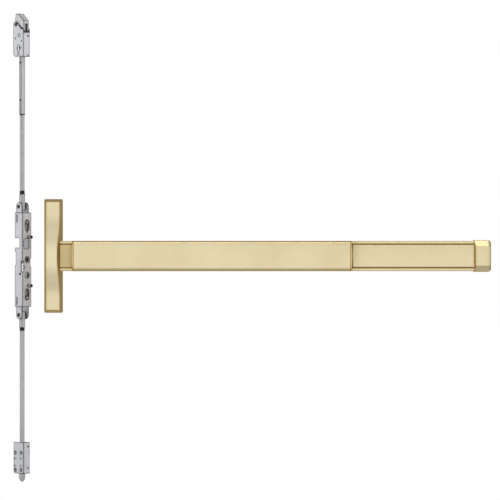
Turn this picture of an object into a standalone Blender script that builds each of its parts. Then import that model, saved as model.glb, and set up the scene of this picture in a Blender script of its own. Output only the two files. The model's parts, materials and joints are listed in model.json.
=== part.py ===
"""Vertical rod exit device: the touchbar device on the door and the steel rod set that works in it.

Metres, +Z up. The door's face is the plane Y = 0. The touchbar device stands in front of it, at -Y,
and the rod set lies at the depth of the door's core, at +Y. The origin is on the door's face, at
the middle of the head cover.
"""

import math

import bmesh
import bpy
from mathutils import Matrix, Vector

# Clearances between pieces
SEAT = 0.0003
RUNNING = 0.0003
LEVER_GAP = 0.0004
SLOT_PLAY = 0.0003

# Head cover
COVER_LENGTH = 0.217
COVER_LEFT = 0.0176
COVER_RIGHT = 0.0180
COVER_DEPTH_END = 0.0450
COVER_DEPTH_MIDDLE = 0.0580
COVER_BOW_FLAT = 0.0120
COVER_BOW_END = 0.0800
COVER_BOW_ROWS = 6
COVER_DRAFT_LEFT = 0.0049
COVER_DRAFT_RIGHT = 0.0037
COVER_DRAFT_BOW = 0.0038
COVER_DRAFT_ENDS = 0.0048
COVER_EDGE = 0.0032
COVER_WALL = 0.0020

# Rail and its inserts
RAIL_HEIGHT = 0.0574
RAIL_DEPTH = 0.0380
RAIL_BASE = 0.0030
RAIL_WALL = 0.0022
RAIL_LIP = 0.0055
RAIL_LIP_THICKNESS = 0.0025
RAIL_START = 0.0130
RAIL_LENGTH = 0.7877
RAIL_CORNER = 0.0014
INSERT_HEIGHT = 0.0430
INSERT_WALL = 0.0024
INSERT_CROWN = 0.0012
INSERT_EDGE = 0.0016
INSERT_PROUD = 0.0008
INSERT_FOOT = 0.0018
INSERT_LEG = 0.0020
NECK_RAISE = 0.0014
NECK_GROOVE = 0.0014
RAIL_SCREW_SETBACK = 0.0500

# Touchpad
PAD_START = 0.0372
PAD_LENGTH = 0.5318
PAD_HEIGHT = 0.0574
PAD_PROJECTION = 0.0760
PAD_TRAVEL = 0.0190
PAD_SKIRT = 0.0180
PAD_WALL = 0.0025
PAD_SKIRT_WALL = 0.0022
PAD_CORNER = 0.0070
PAD_CROWN = 0.0010
PAD_LEG_SPACING = 0.0430
PAD_LEG_WALL = 0.0025
PAD_LEG_DEPTH = 0.0400
PAD_END_WALL = 0.0030
PAD_END_BULGE = 0.0014

# Pad levers and link bar
ROD_TRAVEL = 0.0127
CRANK_ARM = 0.0125
LINK_RISE = 0.0223
LEVER_LEFT_INSET = 0.0728
LEVER_RIGHT_INSET = 0.0890
LEVER_THICKNESS = 0.0060
LEVER_HUB = 0.0060
LEVER_PIVOT_PROJECTION = 0.0370
LEVER_PAD_ARM = 0.0180
PAD_PIN_SETBACK = 0.0260
PAD_PIN_RADIUS = 0.0025
LINK_PIN_RADIUS = 0.0025
PIVOT_RADIUS = 0.0030
BRACKET_LENGTH = 0.0280
BRACKET_EAR = 0.0140
BRACKET_EAR_GAP = 0.0160
BRACKET_SHEET = 0.0020
LINK_BAR_THICKNESS = 0.0030
LINK_BAR_WIDTH = 0.0090
PAD_SPRING_WIRE = 0.0006
PAD_SPRING_RADIUS = 0.0046
PAD_SPRING_TURNS = 2.5

# Head chassis, crank and lift slide
CHASSIS_SHEET = 0.0030
CHASSIS_HALF_WIDTH = 0.0127
CHASSIS_TAB = 0.0150
CHASSIS_TAB_SHEET = 0.0025
CRANK_X = 0.0060
CRANK_THICKNESS = 0.0030
LIFT_WIDTH = 0.0090
LIFT_THICKNESS = 0.0030
LIFT_BELOW = 0.0230
LIFT_STANDOFF = 0.0035
LIFT_FINGER = 0.0050
LIFT_FINGER_REACH = 0.0060
GUIDE_HEIGHT = 0.0120
GUIDE_WALL = 0.0024
DOOR_SCREW_RADIUS = 0.0026
DOOR_SCREW_X = 0.0070
DOOR_SCREW_SETBACK = 0.0200
CHASSIS_TAB_X = 0.0
LIFT_GUIDE_UPPER = 0.0200
LIFT_GUIDE_LOWER = -0.0290

# End cap and end bracket
CAP_LENGTH = 0.0325
CAP_HEIGHT = 0.0604
CAP_SHOULDER = 0.0385
CAP_PLATEAU = 0.0450
CAP_PLATEAU_HEIGHT = 0.0370
CAP_LEFT_SLOPE = 0.0052
CAP_ROUND = 0.0062
CAP_EDGE = 0.0018
CAP_WALL = 0.0020
END_BRACKET_SHEET = 0.0025
END_BRACKET_LEG = 0.0280

# Cover and cap screws
SCREW_RADIUS = 0.0020
SCREW_HEAD_RADIUS = 0.0034
SCREW_HEAD = 0.0013
SCREW_SINK = 0.0005
SCREW_DRIVE = 0.0010
SCREW_LENGTH = 0.0090
SCREW_SETBACK = 0.0100

# Where the rod set stands, and how far it is turned
MECHANISM_X = -0.0608
MECHANISM_Y = 0.0220
MECHANISM_TURN = 45.0

# Centre case
CASE_WIDTH = 0.0236
CASE_FRONT = 0.0141
CASE_BACK = 0.0077
CASE_SHEET = 0.0016
CASE_BEND = 0.0020
CASE_TOP = 0.0830
CASE_BOTTOM = -0.0970
STUD_SLOT_WIDTH = 0.0100
STUD_RADIUS = 0.0040
STUD_PROUD = 0.0006
STUD_NECK = 0.6
POST_X = 0.0030
POST_UPPER_Z = 0.0360
POST_LOWER_Z = -0.0570
POST_RADIUS = 0.0032
POST_LENGTH = 0.0097
POST_SHANK = 0.0020
PINION_Z = -0.0070
SPINDLE_HOLE_RADIUS = 0.0055
LOWER_HOLE_Z = -0.0367
SMALL_HOLE_Z = 0.0456
SMALL_HOLE_RADIUS = 0.0010
RIVET_Z = -0.0220
RIVET_INSET = 0.0056
WINDOW_LEFT = -0.0083
WINDOW_RIGHT = 0.0048
WINDOW_LOW = 0.0137
WINDOW_HIGH = 0.0325
REAR_NOTCH_Y = -0.0053
REAR_NOTCH_LOW = 0.0160
REAR_NOTCH_HIGH = 0.0340
EDGE_NOTCH_DEPTH = 0.0024
EDGE_NOTCH_LOW = -0.0177
EDGE_NOTCH_HIGH = 0.0085
SIDE_SLIT_WIDTH = 0.0012
SIDE_SLIT_LENGTH = 0.0145
SIDE_SLIT_Y = 0.0012
SIDE_SLIT_SETBACK = 0.0040
FOLD_WINDOW_WIDTH = 0.0034
FOLD_WINDOW_DEPTH = 0.0042
FOLD_WINDOW_LOW = -0.0300
FOLD_WINDOW_HIGH = -0.0100
FOLD_NOTCH_LOW = -0.0200
FOLD_NOTCH_HIGH = -0.0040
CASE_SCREW_Y = -0.0072
CASE_SCREW_Z = -0.0345
CASE_SCREW_RADIUS = 0.0011
CASE_SCREW_HEAD_RADIUS = 0.0021
CASE_SCREW_HEAD = 0.0009
SPRING_TAB_WIDTH = 0.0142
SPRING_TAB_DEPTH = 0.0110
SPRING_TAB_SHEET = 0.0020

# Slides
SLIDE_WIDTH = 0.0180
SLIDE_SHEET = 0.0016
SLIDE_FRONT = 0.0090
SLIDE_BACK = 0.0075
SLIDE_WEB = 0.0360
TOP_SLIDE_INNER = 0.0420
TOP_SLIDE_END = 0.1026
TOP_STUD_Z = 0.0646
BOTTOM_SLIDE_INNER = 0.0600
BOTTOM_SLIDE_END = 0.1210
BOTTOM_STUD_Z = 0.0798
CLEVIS_PIN_RADIUS = 0.0025
CLEVIS_HEAD_RADIUS = 0.0036
CLEVIS_HEAD = 0.0007
SPRING_WIRE = 0.0006
SPRING_RADIUS = 0.0042
SPRING_TURNS = 7

# Pinion and racks
PINION_TEETH = 12
GEAR_MODULE = 0.0010
PRESSURE_ANGLE = 25.0
ADDENDUM = 0.0008
DEDENDUM = 0.0012
BACKLASH = 0.00022
RACK_BODY = 0.0023
PINION_THICKNESS = 0.0030
PINION_FRONT = 0.0097
PINION_HUB_SINK = 0.0004
SPINDLE_SQUARE = 0.0050

# Rods, couplers and lock rings
COUPLER_RADIUS = 0.00575
COUPLER_LENGTH = 0.0316
COUPLER_BORE = 0.0185
COUPLER_PIN_REST = 0.0073
ROD_RADIUS = 0.0046
ROD_THREAD_RADIUS = 0.0039
LOCK_RING_RADIUS = 0.00490
LOCK_RING_LENGTH = 0.0056
TOP_ROD_LENGTH = 0.2120
TUBE_RADIUS = 0.0056
TUBE_BORE = 0.0049
TUBE_LAP = 0.0612
TUBE_LENGTH = 0.1346
TUBE_CHAMFER = 0.0006
TUBE_LOWER_PIN_SETBACK = 0.0286
TUBE_UPPER_PIN_SETBACK = 0.0340
BOTTOM_ROD_LENGTH = 0.2580
SPRING_PIN_RADIUS = 0.0015
ROD_HEAD_PLUG = 0.0440
TONGUE_THICKNESS = 0.0040
TONGUE_WIDTH = 0.0090

# Top latch
TOP_CASE_WIDTH = 0.0177
TOP_CASE_FRONT = 0.0130
TOP_CASE_BACK = 0.0157
TOP_CASE_SHEET = 0.0015
TUBE_IN_CASE = 0.0230
TOP_CASE_WEB = 0.0465
TOP_CASE_FRONT_HEIGHT = 0.0530
TOP_CASE_REAR_CORNER = 0.0080
LATCH_PIVOT_Y = 0.0077
LATCH_PIVOT_HEIGHT = 0.0617
LATCH_PIVOT_RADIUS = 0.0024
LATCH_EAR_RADIUS = 0.0062
LATCH_SWING = 35.0
LATCH_WIDTH = 0.0130
LATCH_RISE = 0.0209
LATCH_SLOPE = 0.0142
DRIVE_PIN_DROP = 0.0040
DRIVE_PIN_RADIUS = 0.0020
GUIDE_PIN_HEIGHT = 0.0170
KEYHOLE_RADIUS = 0.0046
SIGHT_HOLE_Y = -0.0012
SIGHT_HOLE_HEIGHT = 0.0408
SIGHT_HOLE_RADIUS = 0.0030
TOP_CASE_DIMPLES = ((0.0093, 0.0352), (-0.0075, 0.0300))
FACE_SCREW_X = 0.0033
FACE_SCREW_RADIUS = 0.0012
TOP_FACE_SCREW_HEIGHTS = (0.0027, 0.0397)

# Bottom latch
BOTTOM_CASE_WIDTH = 0.0176
BOTTOM_CASE_FRONT = 0.0130
BOTTOM_CASE_BACK = 0.0147
BOTTOM_CASE_SHEET = 0.0015
BOTTOM_CASE_LENGTH = 0.0600
BOTTOM_CASE_REAR_CORNER = 0.0050
ROD_IN_BOTTOM_CASE = 0.0390
GUIDE_BLOCK_DROP = 0.0160
GUIDE_BLOCK_FOOT = 0.0030
BOSS_RADIUS = 0.0027
BOSS_FRONT_Y = -0.0062
BOSS_REAR_Y = 0.0100
BOSS_INSET = 0.0040
BOSS_PROUD = 0.0005
BOTTOM_CASE_DIMPLES = (0.0312, 0.0453)
BOTTOM_FACE_SCREW_DEPTHS = (0.0080, 0.0496)
BOLT_RADIUS = 0.0063
BOLT_LENGTH = 0.0526
BOLT_NOSE = 0.0110
BOLT_SOCKET = 0.0160
GUIDE_RING_DROP = 0.0040
GUIDE_RING_LENGTH = 0.0045

# Worked out from the sizes above
LEVER_SWING = 2 * math.atan(ROD_TRAVEL / 2 / CRANK_ARM)
LINK_TRAVEL = 2 * LINK_RISE * math.tan(LEVER_SWING / 2)
RAIL_END = RAIL_START + RAIL_LENGTH
PAD_END = PAD_START + PAD_LENGTH
CAP_START = RAIL_END + SEAT
CAP_END = CAP_START + CAP_LENGTH
LINK_BAR_Z = LEVER_THICKNESS / 2 + LEVER_GAP + LINK_BAR_THICKNESS / 2
LINK_BAR_Y = LINK_RISE - LEVER_PIVOT_PROJECTION
CRANK_Z = LINK_BAR_Z - LINK_RISE
CRANK_FRONT = LINK_BAR_Y - LINK_BAR_WIDTH / 2 - LEVER_GAP - CRANK_THICKNESS
LIFT_X = CRANK_X - CRANK_ARM
LIFT_PIN_Z = CRANK_Z + ROD_TRAVEL / 2
LIFT_BACK = -CHASSIS_SHEET - LIFT_STANDOFF
LEVER_X = (PAD_START + LEVER_LEFT_INSET, PAD_END - LEVER_RIGHT_INSET)
CAP_SCREW_X = CAP_START + CAP_LENGTH / 2
PITCH_RADIUS = GEAR_MODULE * PINION_TEETH / 2
SLIDE_EAR = (SLIDE_FRONT + SLIDE_BACK) / 2
TOP_PIN_Z = TOP_SLIDE_END - SLIDE_EAR
BOTTOM_PIN_Z = -BOTTOM_SLIDE_END + SLIDE_EAR
TOP_COUPLER_END = TOP_PIN_Z - COUPLER_PIN_REST + COUPLER_LENGTH
BOTTOM_COUPLER_END = BOTTOM_PIN_Z + COUPLER_PIN_REST - COUPLER_LENGTH
TOP_ROD_TOP = TOP_COUPLER_END + TOP_ROD_LENGTH
TUBE_BOTTOM = TOP_ROD_TOP - TUBE_LAP
TUBE_TOP = TUBE_BOTTOM + TUBE_LENGTH
TUBE_LOWER_PIN_Z = TUBE_BOTTOM + TUBE_LOWER_PIN_SETBACK
TUBE_UPPER_PIN_Z = TUBE_TOP - TUBE_UPPER_PIN_SETBACK
TOP_CASE_BOTTOM = TUBE_TOP - TUBE_IN_CASE
TOP_CASE_WEB_TOP = TOP_CASE_BOTTOM + TOP_CASE_WEB
TOP_CASE_FRONT_TOP = TOP_CASE_BOTTOM + TOP_CASE_FRONT_HEIGHT
LATCH_PIVOT_Z = TOP_CASE_BOTTOM + LATCH_PIVOT_HEIGHT
LATCH_TOP = LATCH_PIVOT_Z + LATCH_RISE
DRIVE_PIN_Z = LATCH_PIVOT_Z - DRIVE_PIN_DROP
GUIDE_PIN_Z = TOP_CASE_BOTTOM + GUIDE_PIN_HEIGHT
BOTTOM_ROD_END = BOTTOM_COUPLER_END - BOTTOM_ROD_LENGTH
BOTTOM_CASE_TOP = BOTTOM_ROD_END + ROD_IN_BOTTOM_CASE
BOTTOM_CASE_BOTTOM = BOTTOM_CASE_TOP - BOTTOM_CASE_LENGTH
GUIDE_BLOCK_TOP = BOTTOM_CASE_TOP - GUIDE_BLOCK_DROP
GUIDE_BLOCK_BOTTOM = BOTTOM_CASE_BOTTOM + GUIDE_BLOCK_FOOT
BOSS_LEVELS = (GUIDE_BLOCK_TOP - BOSS_INSET, GUIDE_BLOCK_BOTTOM + BOSS_INSET)
BOLT_TOP = BOTTOM_ROD_END + BOLT_SOCKET - SEAT
BOLT_TIP = BOLT_TOP - BOLT_LENGTH
GUIDE_RING_Z = BOTTOM_CASE_TOP - GUIDE_RING_DROP


def arc(centre, radius, start, end, steps):
    """Points along an arc, both ends included, with the angles in degrees."""
    points = []
    for step in range(steps + 1):
        angle = math.radians(start + (end - start) * step / steps)
        points.append((centre[0] + radius * math.cos(angle), centre[1] + radius * math.sin(angle)))
    return points


def circle(centre, radius, steps=16):
    return arc(centre, radius, 0, 360, steps)[:-1]


def rectangle(low, high, corner=0.0, steps=2):
    """An upright rectangle between two corners, with its own corners rounded."""
    if corner == 0:
        return [low, (high[0], low[1]), high, (low[0], high[1])]
    centres = (
        (high[0] - corner, high[1] - corner),
        (low[0] + corner, high[1] - corner),
        (low[0] + corner, low[1] + corner),
        (high[0] - corner, low[1] + corner),
    )
    points = []
    for quarter, centre in enumerate(centres):
        points += arc(centre, corner, 90 * quarter, 90 * quarter + 90, steps)
    return points


def rounded(corners, steps=3):
    """A polygon from (a, b, radius) corners, each rounded by its radius."""
    points = []
    for index, (a, b, radius) in enumerate(corners):
        here = Vector((a, b))
        if radius == 0:
            points.append((a, b))
            continue
        before = (Vector(corners[index - 1][:2]) - here).normalized()
        after = (Vector(corners[(index + 1) % len(corners)][:2]) - here).normalized()
        half = before.angle(after) / 2
        centre = here + (before + after).normalized() * radius / math.sin(half)
        start = here + before * radius / math.tan(half) - centre
        end = here + after * radius / math.tan(half) - centre
        turn = start.angle_signed(end)
        for step in range(steps + 1):
            spoke = start.copy()
            spoke.rotate(Matrix.Rotation(-turn * step / steps, 2))
            points.append((centre.x + spoke.x, centre.y + spoke.y))
    return points


def hull(points):
    """The convex outline round some points."""
    ordered = sorted(set(points))
    sides = []
    for sequence in (ordered, ordered[::-1]):
        side = []
        for point in sequence:
            while len(side) > 1 and cross(side[-2], side[-1], point) <= 0:
                side.pop()
            side.append(point)
        sides.append(side[:-1])
    return sides[0] + sides[1]


def cross(origin, first, second):
    """Above 0 where the way from the first point to the second turns left, seen from the origin."""
    one = (first[0] - origin[0], first[1] - origin[1])
    two = (second[0] - origin[0], second[1] - origin[1])
    return one[0] * two[1] - one[1] * two[0]


def pin_path(pin, direction, travel, pivot, swing, steps=8):
    """The way of a pin through a lever: the pin slides in a straight line while the lever turns.

    The points are where the pin lies in the lever as it stands at rest, so a slot along them
    keeps the lever's turn in step with the pin's travel all the way.
    """
    points = []
    for step in range(steps + 1):
        share = step / steps
        spoke = Vector((pin[0] - pivot[0], pin[1] - pivot[1])) + Vector(direction) * travel * share
        spoke.rotate(Matrix.Rotation(-swing * share, 2))
        points.append((pivot[0] + spoke.x, pivot[1] + spoke.y))
    return points


def slot(path, radius, steps=6):
    """The outline of a slot whose middle runs along a path."""
    left, right = [], []
    for index, point in enumerate(path):
        before = path[max(index - 1, 0)]
        after = path[min(index + 1, len(path) - 1)]
        along = math.atan2(after[1] - before[1], after[0] - before[0])
        left.append((point[0] - radius * math.sin(along), point[1] + radius * math.cos(along)))
        right.append((point[0] + radius * math.sin(along), point[1] - radius * math.cos(along)))
    first = math.degrees(math.atan2(path[1][1] - path[0][1], path[1][0] - path[0][0]))
    last = math.degrees(math.atan2(path[-1][1] - path[-2][1], path[-1][0] - path[-2][0]))
    finish = arc(path[-1], radius, last - 90, last + 90, steps)[1:-1]
    start = arc(path[0], radius, first + 90, first + 270, steps)[1:-1]
    return right + finish + left[::-1] + start


def straight_slot(low, high, width):
    """A slot with round ends between two end points of its outline, upright."""
    radius = width / 2
    return slot([(low[0], low[1] + radius), (high[0], high[1] - radius)], radius)


class Solid:
    """A mesh being put together from closed shapes."""

    def __init__(self):
        self.mesh = bmesh.new()

    def loft(self, rows, middle=None):
        """A closed body through rows of points, its last end drawn to a middle point if one is given."""
        rings = [[self.mesh.verts.new(point) for point in row] for row in rows]
        for first, second in zip(rings, rings[1:]):
            for index in range(len(first)):
                after = (index + 1) % len(first)
                self.mesh.faces.new((first[index], first[after], second[after], second[index]))
        self.mesh.faces.new(rings[0][::-1])
        if middle is None:
            self.mesh.faces.new(rings[-1])
            return self
        tip = self.mesh.verts.new(middle)
        for index, point in enumerate(rings[-1]):
            self.mesh.faces.new((point, rings[-1][(index + 1) % len(rings[-1])], tip))
        return self

    def prism(self, outline, low, high, axis):
        """An outline drawn out along an axis. The outline lies in the plane of the other two axes."""
        return self.loft([[to_space(a, b, level, axis) for a, b in outline] for level in (low, high)])

    def box(self, low, high):
        return self.prism(rectangle(low[:2], high[:2]), low[2], high[2], "Z")

    def turned(self, profile, axis, centre=(0.0, 0.0), steps=16, ring=False):
        """A turned body: (radius, place along the axis) points, closed into a ring if asked."""
        rings = []
        for radius, along in profile:
            count = steps if radius > 0 else 1
            spread = [2 * math.pi * step / steps for step in range(count)]
            rings.append(
                [
                    self.mesh.verts.new(
                        to_space(
                            centre[0] + radius * math.cos(angle),
                            centre[1] + radius * math.sin(angle),
                            along,
                            axis,
                        )
                    )
                    for angle in spread
                ]
            )
        pairs = list(zip(rings, rings[1:])) + ([(rings[-1], rings[0])] if ring else [])
        for first, second in pairs:
            for step in range(steps):
                after = (step + 1) % steps
                if len(first) == 1:
                    corners = (first[0], second[after], second[step])
                elif len(second) == 1:
                    corners = (first[step], first[after], second[0])
                else:
                    corners = (first[step], first[after], second[after], second[step])
                self.mesh.faces.new(corners)
        return self

    def cylinder(self, centre, radius, low, high, axis, steps=16):
        return self.prism(circle(centre, radius, steps), low, high, axis)

    def coil(self, centre, radius, wire, low, high, turns, axis, steps=9, sides=4):
        """A round wire wound into a coil."""
        rise = (high - low) / turns
        slope = math.atan2(rise, 2 * math.pi * radius)
        rows = []
        for step in range(round(turns * steps) + 1):
            angle = 2 * math.pi * step / steps
            row = []
            for side in range(sides):
                turn = 2 * math.pi * side / sides
                out = radius + wire * math.cos(turn)
                lean = wire * math.sin(turn) * math.sin(slope)
                a = out * math.cos(angle) + lean * math.sin(angle)
                b = out * math.sin(angle) - lean * math.cos(angle)
                level = low + rise * step / steps + wire * math.sin(turn) * math.cos(slope)
                row.append(to_space(centre[0] + a, centre[1] + b, level, axis))
            rows.append(row)
        return self.loft(rows)

    def soften(self, chosen, width, segments=2):
        """Rounds the edges that a test of their two ends picks out."""
        edges = [edge for edge in self.mesh.edges if chosen(edge.verts[0].co, edge.verts[1].co)]
        bmesh.ops.bevel(
            self.mesh,
            geom=edges,
            offset=width,
            segments=segments,
            profile=0.5,
            affect="EDGES",
            clamp_overlap=True,
        )
        return self


def to_space(a, b, level, axis):
    """An outline's point in space: (y, z) across X, (x, z) across Y and (x, y) across Z."""
    if axis == "X":
        return (level, a, b)
    if axis == "Y":
        return (a, level, b)
    return (a, b, level)


def make_material(name, colour, metallic, roughness):
    material = bpy.data.materials.new(name)
    material.use_nodes = True
    shader = material.node_tree.nodes["Principled BSDF"]
    shader.inputs["Base Color"].default_value = (*colour, 1.0)
    shader.inputs["Metallic"].default_value = metallic
    shader.inputs["Roughness"].default_value = roughness
    return material


def make_object(name, solid, material, parent, at=(0.0, 0.0, 0.0)):
    """An object whose origin is at a point of its parent's frame."""
    bmesh.ops.recalc_face_normals(solid.mesh, faces=solid.mesh.faces)
    solid.mesh.transform(Matrix.Translation(-Vector(at)))
    mesh = bpy.data.meshes.new(name)
    solid.mesh.to_mesh(mesh)
    solid.mesh.free()
    mesh.shade_smooth()
    mesh.set_sharp_from_angle(angle=math.radians(32))
    made = bpy.data.objects.new(name, mesh)
    bpy.context.scene.collection.objects.link(made)
    made.parent = parent
    made.location = at
    if material:
        mesh.materials.append(material)
    return made


def combine(target, solid, operation):
    """Adds a shape to an object, or cuts it away, with a hidden helper."""
    helper = make_object(target.name + "_helper", solid, None, target.parent, target.location)
    helper.hide_render = True
    helper.display_type = "WIRE"
    modifier = target.modifiers.new(operation.title(), "BOOLEAN")
    modifier.operation = operation
    modifier.object = helper


def cut(target, solid):
    combine(target, solid, "DIFFERENCE")


def fuse(target, solid):
    combine(target, solid, "UNION")


def channel(width, front, back, sheet, bend):
    """The section of a folded channel, open at the back, in the (x, y) plane."""
    half = width / 2
    inner = max(bend - sheet, 0.0003)
    return rounded(
        [
            (-half, back, 0),
            (-half, -front, bend),
            (half, -front, bend),
            (half, back, 0),
            (half - sheet, back, 0),
            (half - sheet, -front + sheet, inner),
            (-half + sheet, -front + sheet, inner),
            (-half + sheet, back, 0),
        ],
        2,
    )


def cover_bow(level):
    """How far the cover's bow has risen at a height: 1 along its middle and 0 towards its ends."""
    share = (COVER_BOW_END - abs(level)) / (COVER_BOW_END - COVER_BOW_FLAT)
    share = min(max(share, 0.0), 1.0)
    return share * share * (3 - 2 * share)


def cover_shell(inset, back):
    """The cover's outer form, or, set in by its wall, its hollow."""
    half = COVER_LENGTH / 2
    climb = (COVER_BOW_END - COVER_BOW_FLAT) / COVER_BOW_ROWS
    ramp = [COVER_BOW_FLAT + climb * step for step in range(COVER_BOW_ROWS + 1)]
    levels = [-half] + [-level for level in reversed(ramp)] + ramp + [half]
    edge = COVER_EDGE - inset / 2
    steps = 3 if inset == 0 else 2
    rows = []
    for level in levels:
        bow = cover_bow(level)
        depth = COVER_DEPTH_END + (COVER_DEPTH_MIDDLE - COVER_DEPTH_END) * bow
        left = -COVER_LEFT + inset
        right = COVER_RIGHT - inset
        front_left = left + COVER_DRAFT_LEFT
        front_right = right - COVER_DRAFT_RIGHT - COVER_DRAFT_BOW * bow
        front = inset - depth
        corners = [(left, back, 0), (front_left, front, edge), (front_right, front, edge), (right, back, 0)]
        section = rounded(corners, steps)
        lean = COVER_DRAFT_ENDS / COVER_DEPTH_END if abs(level) == half else 0.0
        end = math.copysign(inset, level) if abs(level) == half else 0.0
        rows.append([(x, y, level - end + math.copysign(lean, level) * y) for x, y in section])
    return Solid().loft(rows)


def on_cover_end(first, second):
    """Picks the cover's outer edges round its two ends, apart from the back."""
    limit = COVER_BOW_END + 0.001
    same_end = min(abs(first.z), abs(second.z)) > limit and first.z * second.z > 0
    across = abs(first.x - second.x) + abs(first.y - second.y) > 0
    return same_end and across and min(first.y, second.y) < -0.001


def make_head_cover(brass, device):
    outer = cover_shell(0.0, 0.0).soften(on_cover_end, COVER_EDGE * 0.7, 2)
    cover = make_object("head_cover", outer, brass, device)
    cut(cover, cover_shell(COVER_WALL, 0.002))
    reach = RAIL_HEIGHT / 2 + SEAT
    opening = rectangle((-RAIL_DEPTH - SEAT, -reach), (0.002, reach), RAIL_CORNER)
    cut(cover, Solid().prism(opening, RAIL_START - RUNNING, COVER_RIGHT + 0.002, "X"))
    screws = Solid()
    for side in (-1, 1):
        countersink(screws, (CHASSIS_TAB_X, -SCREW_SETBACK), cover_end(), side)
    cut(cover, screws)


def cover_end():
    """How far up the cover's leaning end is over the chassis screw."""
    return COVER_LENGTH / 2 - SCREW_SETBACK * COVER_DRAFT_ENDS / COVER_DEPTH_END


def countersink(solid, centre, surface, side):
    """The way through a wall for a flat-headed screw, up or down from a height."""
    top = surface - SCREW_SINK
    hole = SCREW_RADIUS + SEAT
    wide = SCREW_HEAD_RADIUS + SEAT
    over = surface + SCREW_HEAD
    profile = [
        (0, surface - SCREW_LENGTH),
        (hole, surface - SCREW_LENGTH),
        (hole, top - SCREW_HEAD),
        (wide, top),
        (wide, over),
        (0, over),
    ]
    solid.turned([(radius, side * along) for radius, along in profile], "Z", centre, 12)


def make_flat_screw(name, centre, surface, side, steel, device):
    """A screw whose flat head lies sunk in a wall, up or down from a height."""
    top = surface - SCREW_SINK
    profile = [
        (0, surface - SCREW_LENGTH),
        (SCREW_RADIUS, surface - SCREW_LENGTH),
        (SCREW_RADIUS, top - SCREW_HEAD),
        (SCREW_HEAD_RADIUS, top),
        (0, top),
    ]
    profile = [(radius, side * along) for radius, along in profile]
    made = make_object(name, Solid().turned(profile, "Z", centre, 12), steel, device)
    drive = circle(centre, SCREW_RADIUS * 0.6, 6)
    low, high = sorted((side * (top - SCREW_DRIVE), side * (top + SCREW_DRIVE)))
    cut(made, Solid().prism(drive, low, high, "Z"))


def make_chassis(steel, device):
    """The plate on the door, with tabs for the cover, guides for the lift slide and the crank's boss."""
    lean = (CHASSIS_TAB + CHASSIS_SHEET) * COVER_DRAFT_ENDS / COVER_DEPTH_END
    half = COVER_LENGTH / 2 - COVER_WALL - lean - SEAT
    plate = rectangle((-CHASSIS_HALF_WIDTH, -half), (CHASSIS_HALF_WIDTH, half), 0.002)
    chassis = make_object("head_chassis", Solid().prism(plate, -CHASSIS_SHEET, 0, "Y"), steel, device)
    tabs = Solid()
    for side in (-1, 1):
        low, high = sorted((side * half, side * (half - CHASSIS_TAB_SHEET)))
        tab = rectangle((-CHASSIS_TAB / 2, -CHASSIS_TAB - CHASSIS_SHEET), (CHASSIS_TAB / 2, -0.001))
        tabs.prism(tab, low, high, "Z")
    fuse(chassis, tabs)
    guides = Solid()
    left = LIFT_X - LIFT_WIDTH / 2 - RUNNING
    right = LIFT_X + LIFT_WIDTH / 2 + RUNNING
    front = LIFT_BACK - LIFT_THICKNESS
    for level in (LIFT_GUIDE_UPPER, LIFT_GUIDE_LOWER):
        for low, high in ((left - GUIDE_WALL, left), (right, right + GUIDE_WALL)):
            guides.box((low, front, level), (high, -0.001, level + GUIDE_HEIGHT))
    fuse(chassis, guides)
    boss_front = CRANK_FRONT + CRANK_THICKNESS + RUNNING
    fuse(chassis, Solid().cylinder((CRANK_X, CRANK_Z), LEVER_HUB, boss_front, -0.001, "Y"))
    cut(chassis, Solid().cylinder((CRANK_X, CRANK_Z), PIVOT_RADIUS + SEAT, -0.03, 0.002, "Y", 12))
    slot_half = LIFT_FINGER / 2 + RUNNING * 2
    slot_low = TOP_STUD_Z - ROD_TRAVEL - slot_half - 0.001
    slot_high = TOP_STUD_Z + slot_half + 0.001
    finger_slot = straight_slot((LIFT_X, slot_low), (LIFT_X, slot_high), 2 * slot_half)
    holes = Solid().prism(finger_slot, -0.01, 0.01, "Y")
    for side in (-1, 1):
        level = side * (half - DOOR_SCREW_SETBACK)
        holes.cylinder((DOOR_SCREW_X, level), DOOR_SCREW_RADIUS, -0.01, 0.01, "Y", 12)
        inner = side * (half - CHASSIS_TAB_SHEET - 0.001)
        outer = side * (half + 0.001)
        holes.cylinder((CHASSIS_TAB_X, -SCREW_SETBACK), SCREW_RADIUS + SEAT, inner, outer, "Z", 12)
    cut(chassis, holes)


def make_crank_screw(steel, device):
    profile = [
        (0, -0.0004),
        (PIVOT_RADIUS, -0.0004),
        (PIVOT_RADIUS, CRANK_FRONT - RUNNING),
        (PIVOT_RADIUS * 1.5, CRANK_FRONT - RUNNING),
        (PIVOT_RADIUS * 1.5, CRANK_FRONT - RUNNING - SCREW_HEAD),
        (0, CRANK_FRONT - RUNNING - SCREW_HEAD),
    ]
    screw = Solid().turned(profile, "Y", (CRANK_X, CRANK_Z), 12)
    make_object("head_crank_pivot", screw, steel, device)


def lever(name, pivot, paths, radius, low, high, axis, material, parent):
    """A flat lever: an arm round each slot, all joined at the hub, which turns on the pivot."""
    at = to_space(pivot[0], pivot[1], (low + high) / 2, axis)
    arms = []
    for path in paths:
        outline = circle(pivot, LEVER_HUB, 16)
        for place in (path[0], path[len(path) // 2], path[-1]):
            outline += circle(place, radius * 2, 12)
        arms.append(hull(outline))
    made = make_object(name, Solid().prism(arms[0], low, high, axis), material, parent, at)
    fuse(made, Solid().prism(arms[1], low, high, axis))
    cut(made, Solid().cylinder(pivot, PIVOT_RADIUS + RUNNING, low - 0.001, high + 0.001, axis))
    slots = Solid()
    for path in paths:
        around = [point for place in path for point in circle(place, radius + SLOT_PLAY, 12)]
        slots.prism(hull(around), low - 0.001, high + 0.001, axis)
    cut(made, slots)
    return made


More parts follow.
